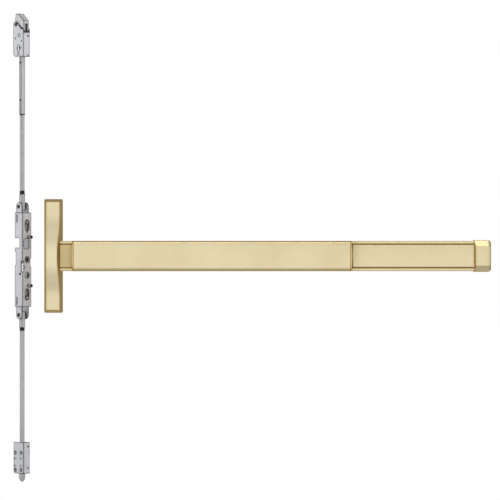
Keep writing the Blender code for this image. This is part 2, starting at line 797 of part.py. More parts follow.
def make_head_crank(steel, device):
    pivot = (CRANK_X, CRANK_Z)
    link_pin = (CRANK_X + LINK_TRAVEL / 2, LINK_BAR_Z)
    lift_pin = (LIFT_X, LIFT_PIN_Z)
    paths = [
        pin_path(link_pin, (-1, 0), LINK_TRAVEL, pivot, LEVER_SWING),
        pin_path(lift_pin, (0, -1), ROD_TRAVEL, pivot, LEVER_SWING),
    ]
    back = CRANK_FRONT + CRANK_THICKNESS
    lever("head_crank", pivot, paths, LINK_PIN_RADIUS, CRANK_FRONT, back, "Y", steel, device)


def make_lift_slide(steel, device):
    """The flat slide that the crank pulls down, with the finger that reaches through the door's face."""
    front = LIFT_BACK - LIFT_THICKNESS
    top = TOP_STUD_Z + LIFT_FINGER
    half = LIFT_WIDTH / 2
    outline = rectangle((LIFT_X - half, LIFT_PIN_Z - LIFT_BELOW), (LIFT_X + half, top), 0.001)
    slide = make_object("lift_slide", Solid().prism(outline, front, LIFT_BACK, "Y"), steel, device)
    finger = Solid().box(
        (LIFT_X - LIFT_FINGER / 2, LIFT_BACK - 0.001, TOP_STUD_Z - LIFT_FINGER / 2),
        (LIFT_X + LIFT_FINGER / 2, LIFT_FINGER_REACH, TOP_STUD_Z + LIFT_FINGER / 2),
    )
    fuse(slide, finger)
    pin = (LIFT_X, LIFT_PIN_Z)
    fuse(slide, Solid().cylinder(pin, LINK_PIN_RADIUS, CRANK_FRONT - RUNNING, front + 0.001, "Y", 12))


def make_link_bar(steel, device):
    """The flat bar along the rail, with an upright pin for each lever and a level pin for the crank."""
    front = LINK_BAR_Y - LINK_BAR_WIDTH / 2
    back = LINK_BAR_Y + LINK_BAR_WIDTH / 2
    low = LINK_BAR_Z - LINK_BAR_THICKNESS / 2
    high = LINK_BAR_Z + LINK_BAR_THICKNESS / 2
    start = CRANK_X + LINK_TRAVEL / 2 - LINK_PIN_RADIUS * 2
    end = LEVER_X[1] + LINK_TRAVEL / 2 + LINK_BAR_WIDTH / 2
    outline = rectangle((start, front), (end, back), 0.002)
    bar = make_object("link_bar", Solid().prism(outline, low, high, "Z"), steel, device)
    pins = Solid()
    pin_end = -LEVER_THICKNESS / 2 - RUNNING
    for x in LEVER_X:
        pins.cylinder((x + LINK_TRAVEL / 2, LINK_BAR_Y), LINK_PIN_RADIUS, pin_end, low + 0.001, "Z", 12)
    fuse(bar, pins)
    head = rectangle((start, low - 0.0022), (start + LINK_PIN_RADIUS * 4, high + 0.0022), 0.001)
    fuse(bar, Solid().prism(head, front, front + 0.004, "Y"))
    pin = (CRANK_X + LINK_TRAVEL / 2, LINK_BAR_Z)
    fuse(bar, Solid().cylinder(pin, LINK_PIN_RADIUS, CRANK_FRONT - RUNNING, front + 0.001, "Y", 12))


def rail_section():
    half = RAIL_HEIGHT / 2
    inner = half - RAIL_WALL
    lip = half - RAIL_LIP
    behind = -RAIL_DEPTH + RAIL_LIP_THICKNESS
    upper = [
        (0, half, 0),
        (-RAIL_DEPTH, half, RAIL_CORNER),
        (-RAIL_DEPTH, lip, RAIL_CORNER * 0.5),
        (behind, lip, 0),
        (behind, inner, 0),
        (-RAIL_BASE, inner, 0),
    ]
    lower = [(y, -z, radius) for y, z, radius in reversed(upper)]
    return rounded(upper + lower)


def make_rail(brass, device):
    rail = make_object("rail", Solid().prism(rail_section(), RAIL_START, RAIL_END, "X"), brass, device)
    holes = Solid()
    for x in (RAIL_START + RAIL_SCREW_SETBACK, RAIL_END - RAIL_SCREW_SETBACK):
        holes.cylinder((x, 0), DOOR_SCREW_RADIUS, -0.01, 0.01, "Y", 12)
    cut(rail, holes)


def neck_section():
    """A flat strip behind the rail's lips, raised between them but for a groove along each."""
    half = RAIL_HEIGHT / 2 - RAIL_WALL - SEAT * 2
    raised = RAIL_HEIGHT / 2 - RAIL_LIP - NECK_GROOVE
    front = -RAIL_DEPTH + RAIL_LIP_THICKNESS + SEAT
    upper = [(front + INSERT_WALL, half, 0), (front, half, 0), (front, raised, 0)]
    upper.append((front - NECK_RAISE, raised, NECK_RAISE / 2))
    lower = [(y, -z, radius) for y, z, radius in reversed(upper)]
    return rounded(upper + lower)


def insert_section():
    """A crowned strip with two legs whose feet hook behind the rail's lips."""
    front = -RAIL_DEPTH - INSERT_PROUD
    half = INSERT_HEIGHT / 2
    behind = -RAIL_DEPTH + RAIL_LIP_THICKNESS + SEAT
    foot = RAIL_HEIGHT / 2 - RAIL_WALL - SEAT * 2
    inner = half - INSERT_LEG
    steps = 4
    crown = []
    for step in range(1, steps):
        height = half * (1 - 2 * step / steps)
        crown.append((front - INSERT_CROWN * (1 - (height / half) ** 2), height, 0))
    foot_end = behind + INSERT_FOOT
    upper = [(front + INSERT_WALL, inner, 0), (foot_end, inner, 0), (foot_end, foot, 0)]
    upper += [(behind, foot, 0), (behind, half, 0), (front, half, INSERT_EDGE)]
    lower = [(y, -z, radius) for y, z, radius in reversed(upper)]
    return rounded(upper + crown + lower)


def make_inserts(brass, device):
    """The strips that close the rail on each side of the touchpad."""
    start = RAIL_START + SEAT
    end = PAD_START - RUNNING * 2
    make_object("neck_insert", Solid().prism(neck_section(), start, end, "X"), brass, device)
    start = PAD_END + RUNNING * 4
    make_object("rail_insert", Solid().prism(insert_section(), start, RAIL_END, "X"), brass, device)


def pad_outline(crown):
    """The touchpad's outside, from the back of its upper skirt round the front to its lower skirt."""
    half = PAD_HEIGHT / 2
    back = -PAD_PROJECTION + PAD_SKIRT
    front = -PAD_PROJECTION + crown
    upper = [(back, half, 0), (front, half, PAD_CORNER)]
    between = front - crown * 0.75
    middle = [(between, half / 2, 0), (front - crown, 0, 0), (between, -half / 2, 0)]
    lower = [(front, -half, PAD_CORNER), (back, -half, 0)]
    return rounded(upper + middle + lower, 5)


def pad_section():
    half = PAD_HEIGHT / 2
    back = -PAD_PROJECTION + PAD_SKIRT
    inside = -PAD_PROJECTION + PAD_CROWN + PAD_WALL
    leg_out = PAD_LEG_SPACING / 2
    leg_in = leg_out - PAD_LEG_WALL
    leg_back = -PAD_PROJECTION + PAD_LEG_DEPTH
    skirt = half - PAD_SKIRT_WALL
    inner = [
        (back, -skirt, 0),
        (inside, -skirt, PAD_CORNER - PAD_WALL),
        (inside, -leg_out, 0),
        (leg_back, -leg_out, 0),
        (leg_back, -leg_in, 0),
        (inside, -leg_in, 0),
    ]
    mirrored = [(y, -z, radius) for y, z, radius in reversed(inner)]
    return pad_outline(PAD_CROWN) + rounded(inner + mirrored)


def make_push_pad(brass, device):
    start = PAD_START + PAD_END_WALL + SEAT
    end = PAD_END - PAD_END_WALL - SEAT
    pad = make_object("push_pad", Solid().prism(pad_section(), start, end, "X"), brass, device)
    holes = Solid()
    reach = PAD_LEG_SPACING / 2 + 0.001
    for x in LEVER_X:
        centre = (x + LEVER_PAD_ARM, -PAD_PROJECTION + PAD_PIN_SETBACK)
        holes.cylinder(centre, PAD_PIN_RADIUS + SEAT, -reach, reach, "Z", 12)
    cut(pad, holes)


def make_pad_end(name, inner, side, brass, device):
    """The plate that closes an end of the touchpad, bulging a little outwards."""
    outline = pad_outline(PAD_CROWN)
    back = -PAD_PROJECTION + PAD_SKIRT
    half = PAD_HEIGHT / 2
    outline += [(back, -half / 2), (back, 0.0), (back, half / 2)]
    edge = 0.0008
    rows = [[(inner, y, z) for y, z in outline]]
    middle_y = back - PAD_SKIRT / 2
    for share, inset in ((1.0, 0.0), (0.0, edge)):
        row = []
        for y, z in outline:
            bulge = PAD_END_BULGE * (1 - (z / half) ** 2)
            reach = PAD_END_WALL - PAD_END_BULGE + bulge - edge * share
            inward = math.copysign(inset, middle_y - y)
            row.append((inner + side * reach, y + inward, z - math.copysign(inset, z)))
        rows.append(row)
    tip = (inner + side * PAD_END_WALL, middle_y, 0.0)
    make_object(name, Solid().loft(rows, tip), brass, device)


def make_pad_lever(name, x, steel, device):
    pivot = (x, -LEVER_PIVOT_PROJECTION)
    pad_pin = (x + LEVER_PAD_ARM, -PAD_PROJECTION + PAD_PIN_SETBACK)
    link_pin = (x + LINK_TRAVEL / 2, LINK_BAR_Y)
    paths = [
        pin_path(pad_pin, (0, 1), PAD_TRAVEL, pivot, LEVER_SWING),
        pin_path(link_pin, (-1, 0), LINK_TRAVEL, pivot, LEVER_SWING),
    ]
    half = LEVER_THICKNESS / 2
    lever(name, pivot, paths, LINK_PIN_RADIUS, -half, half, "Z", steel, device)


def make_lever_bracket(name, x, steel, device):
    """A folded bracket on the rail's floor with two ears that hold the lever's pivot."""
    floor = -RAIL_BASE - SEAT
    ear = BRACKET_EAR_GAP / 2
    outer = ear + BRACKET_SHEET
    left = x - BRACKET_LENGTH / 2
    right = x + BRACKET_LENGTH / 2
    foot = Solid().box((left, floor - BRACKET_SHEET, -outer), (right, floor, outer))
    bracket = make_object(name, foot, steel, device)
    tip = -LEVER_PIVOT_PROJECTION
    shape = arc((x, tip), BRACKET_EAR / 2, 180, 360, 8)
    shape += [(right, floor), (left, floor)]
    ears = Solid().prism(shape, ear, outer, "Z").prism(shape, -outer, -ear, "Z")
    fuse(bracket, ears)
    cut(bracket, Solid().cylinder((x, tip), PIVOT_RADIUS + SEAT, -outer - 0.001, outer + 0.001, "Z"))


def make_pin(name, centre, radius, low, high, axis, material, parent, head=0.0, head_length=0.0):
    """A straight pin, with a flat head at each end if a head radius is given."""
    profile = [(0, low), (radius, low), (radius, high), (0, high)]
    if head:
        profile = [
            (0, low - head_length),
            (head, low - head_length),
            (head, low),
            (radius, low),
            (radius, high),
            (head, high),
            (head, high + head_length),
            (0, high + head_length),
        ]
    return make_object(name, Solid().turned(profile, axis, centre, 12), material, parent)


def make_pad_gear(brass, steel, device):
    """The two levers under the touchpad with their brackets, pins and return springs."""
    for side, x in zip(("left", "right"), LEVER_X):
        make_pad_lever("pad_lever_" + side, x, steel, device)
        make_lever_bracket("lever_bracket_" + side, x, steel, device)
        outer = BRACKET_EAR_GAP / 2 + BRACKET_SHEET
        pivot = (x, -LEVER_PIVOT_PROJECTION)
        ends = (-outer - SEAT, outer + SEAT)
        heads = (PIVOT_RADIUS * 1.4, 0.001)
        make_pin("lever_pivot_" + side, pivot, PIVOT_RADIUS, *ends, "Z", steel, device, *heads)
        pad_pin = (x + LEVER_PAD_ARM, -PAD_PROJECTION + PAD_PIN_SETBACK)
        reach = PAD_LEG_SPACING / 2
        make_pin("pad_pin_" + side, pad_pin, PAD_PIN_RADIUS, -reach, reach, "Z", steel, device)
        low = -BRACKET_EAR_GAP / 2 + PAD_SPRING_WIRE + SEAT
        high = -LEVER_THICKNESS / 2 - PAD_SPRING_WIRE - SEAT
        spring = Solid().coil(pivot, PAD_SPRING_RADIUS, PAD_SPRING_WIRE, low, high, PAD_SPRING_TURNS, "Z")
        make_object("pad_spring_" + side, spring, steel, device)


def cap_section(half, shoulder, plateau, plateau_half):
    upper = [(0, half, 0), (-shoulder, half, CAP_EDGE), (-plateau, plateau_half, CAP_EDGE)]
    lower = [(y, -z, radius) for y, z, radius in reversed(upper)]
    return rounded(upper + lower)


def make_end_cap(brass, device):
    half = CAP_HEIGHT / 2
    top = CAP_PLATEAU_HEIGHT / 2
    low = CAP_SHOULDER + INSERT_CROWN + INSERT_PROUD
    start = cap_section(half, CAP_SHOULDER, low, top)
    full = cap_section(half, CAP_SHOULDER, CAP_PLATEAU, top)
    rows = [[(CAP_START, y, z) for y, z in start]]
    rows.append([(CAP_START + CAP_LEFT_SLOPE * (1 - 0.6 * abs(z) / half), y, z) for y, z in full])
    for turn in (0, 35, 70):
        fall = CAP_ROUND * (1 - math.cos(math.radians(turn)))
        x = CAP_END - CAP_ROUND + CAP_ROUND * math.sin(math.radians(turn))
        section = cap_section(half - fall, CAP_SHOULDER - fall, CAP_PLATEAU - fall, top - fall * 0.5)
        rows.append([(x, y, z) for y, z in section])
    cap = make_object("end_cap", Solid().loft(rows), brass, device)
    hollow = rectangle((-CAP_SHOULDER + CAP_WALL, -half + CAP_WALL), (0.002, half - CAP_WALL), 0.001)
    far = CAP_END - CAP_ROUND - CAP_WALL
    cut(cap, Solid().prism(hollow, CAP_START - 0.001, far, "X"))
    raised = rectangle((-CAP_PLATEAU + CAP_WALL, -top + CAP_WALL), (-CAP_SHOULDER + 0.004, top - CAP_WALL))
    cut(cap, Solid().prism(raised, CAP_START + CAP_LEFT_SLOPE + CAP_WALL, far, "X"))
    screws = Solid()
    for side in (-1, 1):
        countersink(screws, (CAP_SCREW_X, -SCREW_SETBACK), half, side)
    cut(cap, screws)


def make_end_bracket(steel, device):
    """A folded bracket on the door whose two legs stand inside the end cap."""
    outer = CAP_HEIGHT / 2 - CAP_WALL - SEAT
    inner = outer - END_BRACKET_SHEET
    start = CAP_START + CAP_WALL
    end = CAP_END - CAP_ROUND - CAP_WALL - SEAT * 2
    outline = [
        (0, outer),
        (-END_BRACKET_LEG, outer),
        (-END_BRACKET_LEG, inner),
        (-END_BRACKET_SHEET, inner),
        (-END_BRACKET_SHEET, -inner),
        (-END_BRACKET_LEG, -inner),
        (-END_BRACKET_LEG, -outer),
        (0, -outer),
    ]
    bracket = make_object("end_bracket", Solid().prism(outline, start, end, "X"), steel, device)
    holes = Solid()
    for side in (-1, 1):
        ends = (side * (outer + 0.001), side * (inner - 0.001))
        holes.cylinder((CAP_SCREW_X, -SCREW_SETBACK), SCREW_RADIUS + SEAT, *ends, "Z", 12)
        holes.cylinder((CAP_SCREW_X, side * inner / 2), DOOR_SCREW_RADIUS, -0.01, 0.01, "Y", 12)
    cut(bracket, holes)


def make_device(brass, steel, device):
    make_head_cover(brass, device)
    for place, side in (("top", 1), ("bottom", -1)):
        centre = (CHASSIS_TAB_X, -SCREW_SETBACK)
        make_flat_screw("cover_screw_" + place, centre, cover_end(), side, steel, device)
        centre = (CAP_SCREW_X, -SCREW_SETBACK)
        make_flat_screw("cap_screw_" + place, centre, CAP_HEIGHT / 2, side, steel, device)
    make_chassis(steel, device)
    make_crank_screw(steel, device)
    make_head_crank(steel, device)
    make_lift_slide(steel, device)
    make_link_bar(steel, device)
    make_rail(brass, device)
    make_inserts(brass, device)
    make_push_pad(brass, device)
    make_pad_end("pad_end_left", PAD_START + PAD_END_WALL, -1, brass, device)
    make_pad_end("pad_end_right", PAD_END - PAD_END_WALL, 1, brass, device)
    make_pad_gear(brass, steel, device)
    make_end_cap(brass, device)
    make_end_bracket(steel, device)


def stud_slot(stud_z, direction):
    """The slot in the case that a slide's guide stud runs along, from its place at rest."""
    ends = sorted((stud_z - direction * SLOT_PLAY, stud_z + direction * (ROD_TRAVEL + SLOT_PLAY)))
    radius = STUD_SLOT_WIDTH / 2
    low = ends[0] - STUD_RADIUS + radius
    high = ends[1] + STUD_RADIUS - radius
    return slot([(0.0, low), (0.0, high)], radius, 6)


def make_centre_case(zinc, mechanism):
    section = channel(CASE_WIDTH, CASE_FRONT, CASE_BACK, CASE_SHEET, CASE_BEND)
    case = make_object("centre_case", Solid().prism(section, CASE_BOTTOM, CASE_TOP, "Z"), zinc, mechanism)
    half = CASE_WIDTH / 2
    tab = Solid().box(
        (-half + CASE_SHEET / 2, -SPRING_TAB_DEPTH / 2, PINION_Z - SPRING_TAB_SHEET),
        (-half + SPRING_TAB_WIDTH, SPRING_TAB_DEPTH / 2, PINION_Z),
    )
    fuse(case, tab)
    through = (-CASE_FRONT - 0.001, -CASE_FRONT + CASE_SHEET + 0.0005)
    front = Solid()
    front.prism(stud_slot(TOP_STUD_Z, -1), *through, "Y")
    front.prism(stud_slot(-BOTTOM_STUD_Z, 1), *through, "Y")
    front.cylinder((0, SMALL_HOLE_Z), SMALL_HOLE_RADIUS, *through, "Y", 12)
    front.cylinder((0, PINION_Z), SPINDLE_HOLE_RADIUS, *through, "Y", 20)
    front.cylinder((0, LOWER_HOLE_Z), SPINDLE_HOLE_RADIUS, *through, "Y", 20)
    front.cylinder((-half + RIVET_INSET, RIVET_Z), SMALL_HOLE_RADIUS, *through, "Y", 8)
    front.prism(rectangle((WINDOW_LEFT, WINDOW_LOW), (WINDOW_RIGHT, WINDOW_HIGH), 0.003), *through, "Y")
    for level in (POST_UPPER_Z, POST_LOWER_Z):
        front.cylinder((POST_X, level), POST_SHANK + SEAT, *through, "Y", 12)
    left = (-half - 0.001, -half + CASE_SHEET + 0.0005)
    over = CASE_BACK + 0.002
    front.prism(rectangle((REAR_NOTCH_Y, REAR_NOTCH_LOW), (over, REAR_NOTCH_HIGH), 0.0012), *left, "X")
    edge = CASE_BACK - EDGE_NOTCH_DEPTH
    front.prism(rectangle((edge, EDGE_NOTCH_LOW), (over, EDGE_NOTCH_HIGH), 0.0008), *left, "X")
    slits = (CASE_TOP - SIDE_SLIT_SETBACK - SIDE_SLIT_LENGTH, CASE_BOTTOM + SIDE_SLIT_SETBACK)
    for low in slits:
        high = low + SIDE_SLIT_LENGTH
        front.prism(rectangle((SIDE_SLIT_Y, low), (SIDE_SLIT_Y + SIDE_SLIT_WIDTH, high)), *left, "X")
    front.cylinder((CASE_SCREW_Y, CASE_SCREW_Z), CASE_SCREW_RADIUS + SEAT, *left, "X", 10)
    outside = -CASE_FRONT - 0.001
    inside = -CASE_FRONT + FOLD_WINDOW_DEPTH
    near = half - FOLD_WINDOW_WIDTH
    far = half + 0.001
    front.box((near, outside, FOLD_NOTCH_LOW), (far, inside, FOLD_NOTCH_HIGH))
    front.box((-far, outside, FOLD_WINDOW_LOW), (-near, inside, FOLD_WINDOW_HIGH))
    cut(case, front)


def make_case_screw(steel, mechanism):
    """The small screw in the left side of the case, near the fold."""
    outside = -CASE_WIDTH / 2 - SEAT
    inside = -CASE_WIDTH / 2 + CASE_SHEET
    profile = [
        (0, inside),
        (CASE_SCREW_RADIUS, inside),
        (CASE_SCREW_RADIUS, outside),
        (CASE_SCREW_HEAD_RADIUS, outside),
        (CASE_SCREW_HEAD_RADIUS, outside - CASE_SCREW_HEAD / 2),
        (CASE_SCREW_HEAD_RADIUS * 0.7, outside - CASE_SCREW_HEAD),
        (0, outside - CASE_SCREW_HEAD),
    ]
    screw = Solid().turned(profile, "X", (CASE_SCREW_Y, CASE_SCREW_Z), 12)
    make_object("case_screw", screw, steel, mechanism)


def make_post(name, level, zinc, mechanism):
    """A threaded post riveted into the front of the case."""
    outside = -CASE_FRONT - SEAT
    inside = -CASE_FRONT + CASE_SHEET + SEAT
    profile = [
        (0, outside - POST_LENGTH + 0.006),
        (POST_SHANK * 0.8, outside - POST_LENGTH + 0.006),
        (POST_SHANK * 0.8, outside - POST_LENGTH),
        (POST_RADIUS - 0.0004, outside - POST_LENGTH),
        (POST_RADIUS, outside - POST_LENGTH + 0.0004),
        (POST_RADIUS, outside),
        (POST_SHANK, outside),
        (POST_SHANK, inside),
        (POST_SHANK * 1.4, inside),
        (POST_SHANK * 1.4, inside + 0.0008),
        (0, inside + 0.0008),
    ]
    make_object(name, Solid().turned(profile, "Y", (POST_X, level), 12), zinc, mechanism)


def rack_edge(low, high, side):
    """The toothed edge of a rack, from its low end to its high end, with a tooth level with the pinion."""
    pitch = math.pi * GEAR_MODULE
    lean = math.tan(math.radians(PRESSURE_ANGLE))
    half = pitch / 4 - BACKLASH / 2
    root = PITCH_RADIUS + DEDENDUM
    tip = PITCH_RADIUS - ADDENDUM
    points = [(side * root, low)]
    first = math.ceil((low - PINION_Z) / pitch + 0.5)
    last = math.floor((high - PINION_Z) / pitch - 0.5)
    for tooth in range(first, last + 1):
        middle = PINION_Z + tooth * pitch
        wide = half + DEDENDUM * lean
        narrow = half - ADDENDUM * lean
        points += [
            (side * root, middle - wide),
            (side * tip, middle - narrow),
            (side * tip, middle + narrow),
            (side * root, middle + wide),
        ]
    points.append((side * root, high))
    return points


def make_slide(name, sign, inner, end, stud_z, rack_side, zinc, mechanism):
    """A clevis slide: two rounded ears, a web across their front, a spring tab and a rack arm.

    sign is 1 for the upper slide and -1 for the lower one, whose heights count downwards.
    """
    half = SLIDE_WIDTH / 2
    ear = SLIDE_EAR
    middle = (SLIDE_BACK - SLIDE_FRONT) / 2
    outline = [(-SLIDE_FRONT, sign * inner), (SLIDE_BACK, sign * inner)]
    outline += [(y, sign * z) for y, z in arc((middle, end - ear), ear, 0, 180, 8)]
    ears = Solid()
    ears.prism(outline, -half, -half + SLIDE_SHEET, "X").prism(outline, half - SLIDE_SHEET, half, "X")
    slide = make_object(name, ears, zinc, mechanism)
    back = -SLIDE_FRONT + SLIDE_SHEET
    low, high = sorted((sign * inner, sign * (inner + SLIDE_WEB)))
    web = Solid().box((-half, -SLIDE_FRONT, low), (half, back, high))
    fuse(slide, web)
    low, high = sorted((sign * inner, sign * (inner + SLIDE_SHEET)))
    tab_half = SPRING_RADIUS + 0.002
    tab = Solid().box((-tab_half, -SLIDE_FRONT + 0.0004, low), (tab_half, 0.0060, high))
    fuse(slide, tab)
    reach = 2 * PITCH_RADIUS + ROD_TRAVEL
    near = PINION_Z - sign * PITCH_RADIUS * 1.1
    far = near + sign * reach
    low, high = sorted((near, far))
    outer = PITCH_RADIUS + DEDENDUM + RACK_BODY
    edge = rack_edge(low, high, rack_side)
    edge = edge if sign > 0 else edge[::-1]
    slide_end = sign * (inner + 0.002)
    arm = edge + [(rack_side * 0.002, slide_end), (rack_side * (outer - 0.001), slide_end)]
    arm += [(rack_side * outer, far), (rack_side * outer, near)]
    fuse(slide, Solid().prism(arm, -SLIDE_FRONT + 0.0001, back - 0.0001, "Y"))
    pin_z = sign * (end - ear)
    holes = Solid().cylinder((0, pin_z), CLEVIS_PIN_RADIUS + SEAT, -half - 0.001, half + 0.001, "X", 12)
    neck = STUD_RADIUS * STUD_NECK + SEAT
    holes.cylinder((0, sign * stud_z), neck, -SLIDE_FRONT - 0.001, back + 0.001, "Y", 12)
    cut(slide, holes)


def make_stud(name, level, zinc, mechanism):
    """The guide stud riveted in a slide, whose head shows in the case's slot."""
    front = -CASE_FRONT - STUD_PROUD
    web = -SLIDE_FRONT
    neck = STUD_RADIUS * STUD_NECK
    profile = [
        (0, front),
        (STUD_RADIUS - 0.0005, front),
        (STUD_RADIUS, front + 0.0005),
        (STUD_RADIUS, web - SEAT),
        (neck, web - SEAT),
        (neck, web + SLIDE_SHEET + SEAT),
        (neck * 1.4, web + SLIDE_SHEET + SEAT),
        (neck * 1.4, web + SLIDE_SHEET + 0.0009),
        (0, web + SLIDE_SHEET + 0.0009),
    ]
    make_object(name, Solid().turned(profile, "Y", (0, level), 14), zinc, mechanism)


def pinion_outline():
    """Involute teeth, with a gap facing each rack's middle tooth."""
    base = PITCH_RADIUS * math.cos(math.radians(PRESSURE_ANGLE))
    outer = PITCH_RADIUS + ADDENDUM
    root = PITCH_RADIUS - DEDENDUM
    pressure = math.radians(PRESSURE_ANGLE)
    at_pitch = math.pi / (2 * PINION_TEETH) - BACKLASH / (2 * PITCH_RADIUS)
    widest = at_pitch + math.tan(pressure) - pressure
    flank = [(root, widest)]
    for step in range(3):
        radius = base + (outer - base) * step / 2
        roll = math.acos(min(base / radius, 1.0))
        flank.append((radius, widest - math.tan(roll) + roll))
    points = []
    for tooth in range(PINION_TEETH):
        middle = 2 * math.pi * (tooth + 0.5) / PINION_TEETH
        for radius, away in flank:
            points.append((radius * math.cos(middle - away), PINION_Z + radius * math.sin(middle - away)))
        for radius, away in reversed(flank):
            points.append((radius * math.cos(middle + away), PINION_Z + radius * math.sin(middle + away)))
    return points


def make_pinion(steel, mechanism):
    """The toothed wheel between the racks, with a hub in the case's hole and a square way for a spindle."""
    front = -PINION_FRONT
    at = (0.0, front, PINION_Z)
    teeth = Solid().prism(pinion_outline(), front, front + PINION_THICKNESS, "Y")
    pinion = make_object("pinion", teeth, steel, mechanism, at)
    hub_end = front + PINION_HUB_SINK
    hub = Solid().cylinder((0, PINION_Z), SPINDLE_HOLE_RADIUS - RUNNING, -CASE_FRONT, hub_end, "Y", 20)
    fuse(pinion, hub)
    half = SPINDLE_SQUARE / 2
    square = rectangle((-half, PINION_Z - half), (half, PINION_Z + half))
    cut(pinion, Solid().prism(square, -CASE_FRONT - 0.001, front + PINION_THICKNESS + 0.001, "Y"))


def make_slide_spring(name, low, high, zinc, mechanism):
    wire = SPRING_WIRE + SEAT
    spring = Solid().coil((0, 0), SPRING_RADIUS, SPRING_WIRE, low + wire, high - wire, SPRING_TURNS, "Z")
    make_object(name, spring, zinc, mechanism)


def make_coupler(name, sign, pin_z, zinc, mechanism):
    """The turned coupler between a slide's ears, with a blind bore for the rod's threaded end.

    sign is 1 for the upper coupler and -1 for the lower one.
    """
    start = sign * pin_z - COUPLER_PIN_REST
    end = start + COUPLER_LENGTH
    bore = ROD_THREAD_RADIUS + SEAT
    bottom = end - COUPLER_BORE
    profile = [
        (0, start),
        (COUPLER_RADIUS - 0.0006, start),
        (COUPLER_RADIUS, start + 0.0006),
        (COUPLER_RADIUS, end - 0.0004),
        (COUPLER_RADIUS - 0.0004, end),
        (bore, end),
        (bore, bottom),
        (0, bottom),
    ]
    profile = [(radius, sign * along) for radius, along in profile]
    coupler = make_object(name, Solid().turned(profile, "Z"), zinc, mechanism)
    hole = Solid().cylinder((0, pin_z), CLEVIS_PIN_RADIUS + SEAT, -0.01, 0.01, "X", 12)
    cut(coupler, hole)


def make_lock_ring(name, sign, start, black, mechanism):
    low = start + sign * SEAT
    high = start + sign * (LOCK_RING_LENGTH - SEAT)
    bore = ROD_THREAD_RADIUS + SEAT
    profile = [(bore, low), (LOCK_RING_RADIUS, low), (LOCK_RING_RADIUS, high), (bore, high)]
    make_object(name, Solid().turned(profile, "Z", ring=True), black, mechanism)


def rod_profile(sign, coupler_end, far):
    """A rod with its threaded end in the coupler, given as heights along the rod."""
    shoulder = coupler_end + sign * LOCK_RING_LENGTH
    inside = coupler_end - sign * (COUPLER_BORE - 0.001)
    return [
        (0, inside),
        (ROD_THREAD_RADIUS, inside),
        (ROD_THREAD_RADIUS, shoulder),
        (ROD_RADIUS - 0.0003, shoulder),
        (ROD_RADIUS, shoulder + sign * 0.0003),
        (ROD_RADIUS, far),
        (0, far),
    ]


def make_rods(zinc, black, mechanism):
    make_coupler("top_coupler", 1, TOP_PIN_Z, zinc, mechanism)
    make_coupler("bottom_coupler", -1, BOTTOM_PIN_Z, zinc, mechanism)
    make_lock_ring("top_lock_ring", 1, TOP_COUPLER_END, black, mechanism)
    make_lock_ring("bottom_lock_ring", -1, BOTTOM_COUPLER_END, black, mechanism)
    profile = rod_profile(1, TOP_COUPLER_END, TOP_ROD_TOP)
    rod = make_object("top_rod", Solid().turned(profile, "Z"), zinc, mechanism)
    pin_hole = SPRING_PIN_RADIUS + SEAT
    cut(rod, Solid().cylinder((0, TUBE_LOWER_PIN_Z), pin_hole, -0.01, 0.01, "X", 8))
    profile = rod_profile(-1, BOTTOM_COUPLER_END, BOTTOM_ROD_END)
    make_object("bottom_rod", Solid().turned(profile, "Z"), zinc, mechanism)
    for name, level in (("top_clevis_pin", TOP_PIN_Z), ("bottom_clevis_pin", BOTTOM_PIN_Z)):
        half = SLIDE_WIDTH / 2 + SEAT
        heads = (CLEVIS_HEAD_RADIUS, CLEVIS_HEAD)
        make_pin(name, (0, level), CLEVIS_PIN_RADIUS, -half, half, "X", zinc, mechanism, *heads)


def make_sleeve_tube(zinc, mechanism):
    """The tube that joins the rod to the latch, pinned at both ends."""
    chamfer = TUBE_RADIUS - TUBE_CHAMFER
    profile = [
        (TUBE_BORE, TUBE_BOTTOM),
        (chamfer, TUBE_BOTTOM),
        (TUBE_RADIUS, TUBE_BOTTOM + TUBE_CHAMFER * 3),
        (TUBE_RADIUS, TUBE_TOP),
        (TUBE_BORE, TUBE_TOP),
    ]
    tube = make_object("sleeve_tube", Solid().turned(profile, "Z", ring=True), zinc, mechanism)
    holes = Solid()
    for level in (TUBE_LOWER_PIN_Z, TUBE_UPPER_PIN_Z, GUIDE_PIN_Z):
        holes.cylinder((0, level), SPRING_PIN_RADIUS + SEAT, -0.01, 0.01, "X", 8)
    cut(tube, holes)
    reach = TUBE_RADIUS - 0.0002
    for name, level in (("tube_pin_lower", TUBE_LOWER_PIN_Z), ("tube_pin_upper", TUBE_UPPER_PIN_Z)):
        make_pin(name, (0, level), SPRING_PIN_RADIUS, -reach, reach, "X", zinc, mechanism)


def make_rod_head(zinc, mechanism):
    """The plug in the tube's top with the flat tongue that carries the latch's drive pin."""
    plug_bottom = TUBE_TOP - ROD_HEAD_PLUG
    radius = TUBE_BORE - SEAT
    plug_top = TUBE_TOP + 0.001
    plug = Solid().turned([(0, plug_bottom), (radius, plug_bottom), (radius, plug_top), (0, plug_top)], "Z")
    head = make_object("rod_head", plug, zinc, mechanism)
    half = TONGUE_WIDTH / 2
    outline = [(-half, TUBE_TOP + SEAT), (half, TUBE_TOP + SEAT)]
    outline += arc((0, DRIVE_PIN_Z), half, 0, 180, 10)
    fuse(head, Solid().prism(outline, -TONGUE_THICKNESS / 2, TONGUE_THICKNESS / 2, "X"))
    holes = Solid()
    for level in (TUBE_UPPER_PIN_Z, GUIDE_PIN_Z):
        holes.cylinder((0, level), SPRING_PIN_RADIUS + SEAT, -0.01, 0.01, "X", 8)
    holes.cylinder((0, DRIVE_PIN_Z), DRIVE_PIN_RADIUS + SEAT, -0.01, 0.01, "X", 12)
    cut(head, holes)
    reach = TOP_CASE_WIDTH / 2
    make_pin("latch_guide_pin", (0, GUIDE_PIN_Z), SPRING_PIN_RADIUS, -reach, reach, "X", zinc, mechanism)
    reach = LATCH_WIDTH / 2
    make_pin("latch_drive_pin", (0, DRIVE_PIN_Z), DRIVE_PIN_RADIUS, -reach, reach, "X", zinc, mechanism)


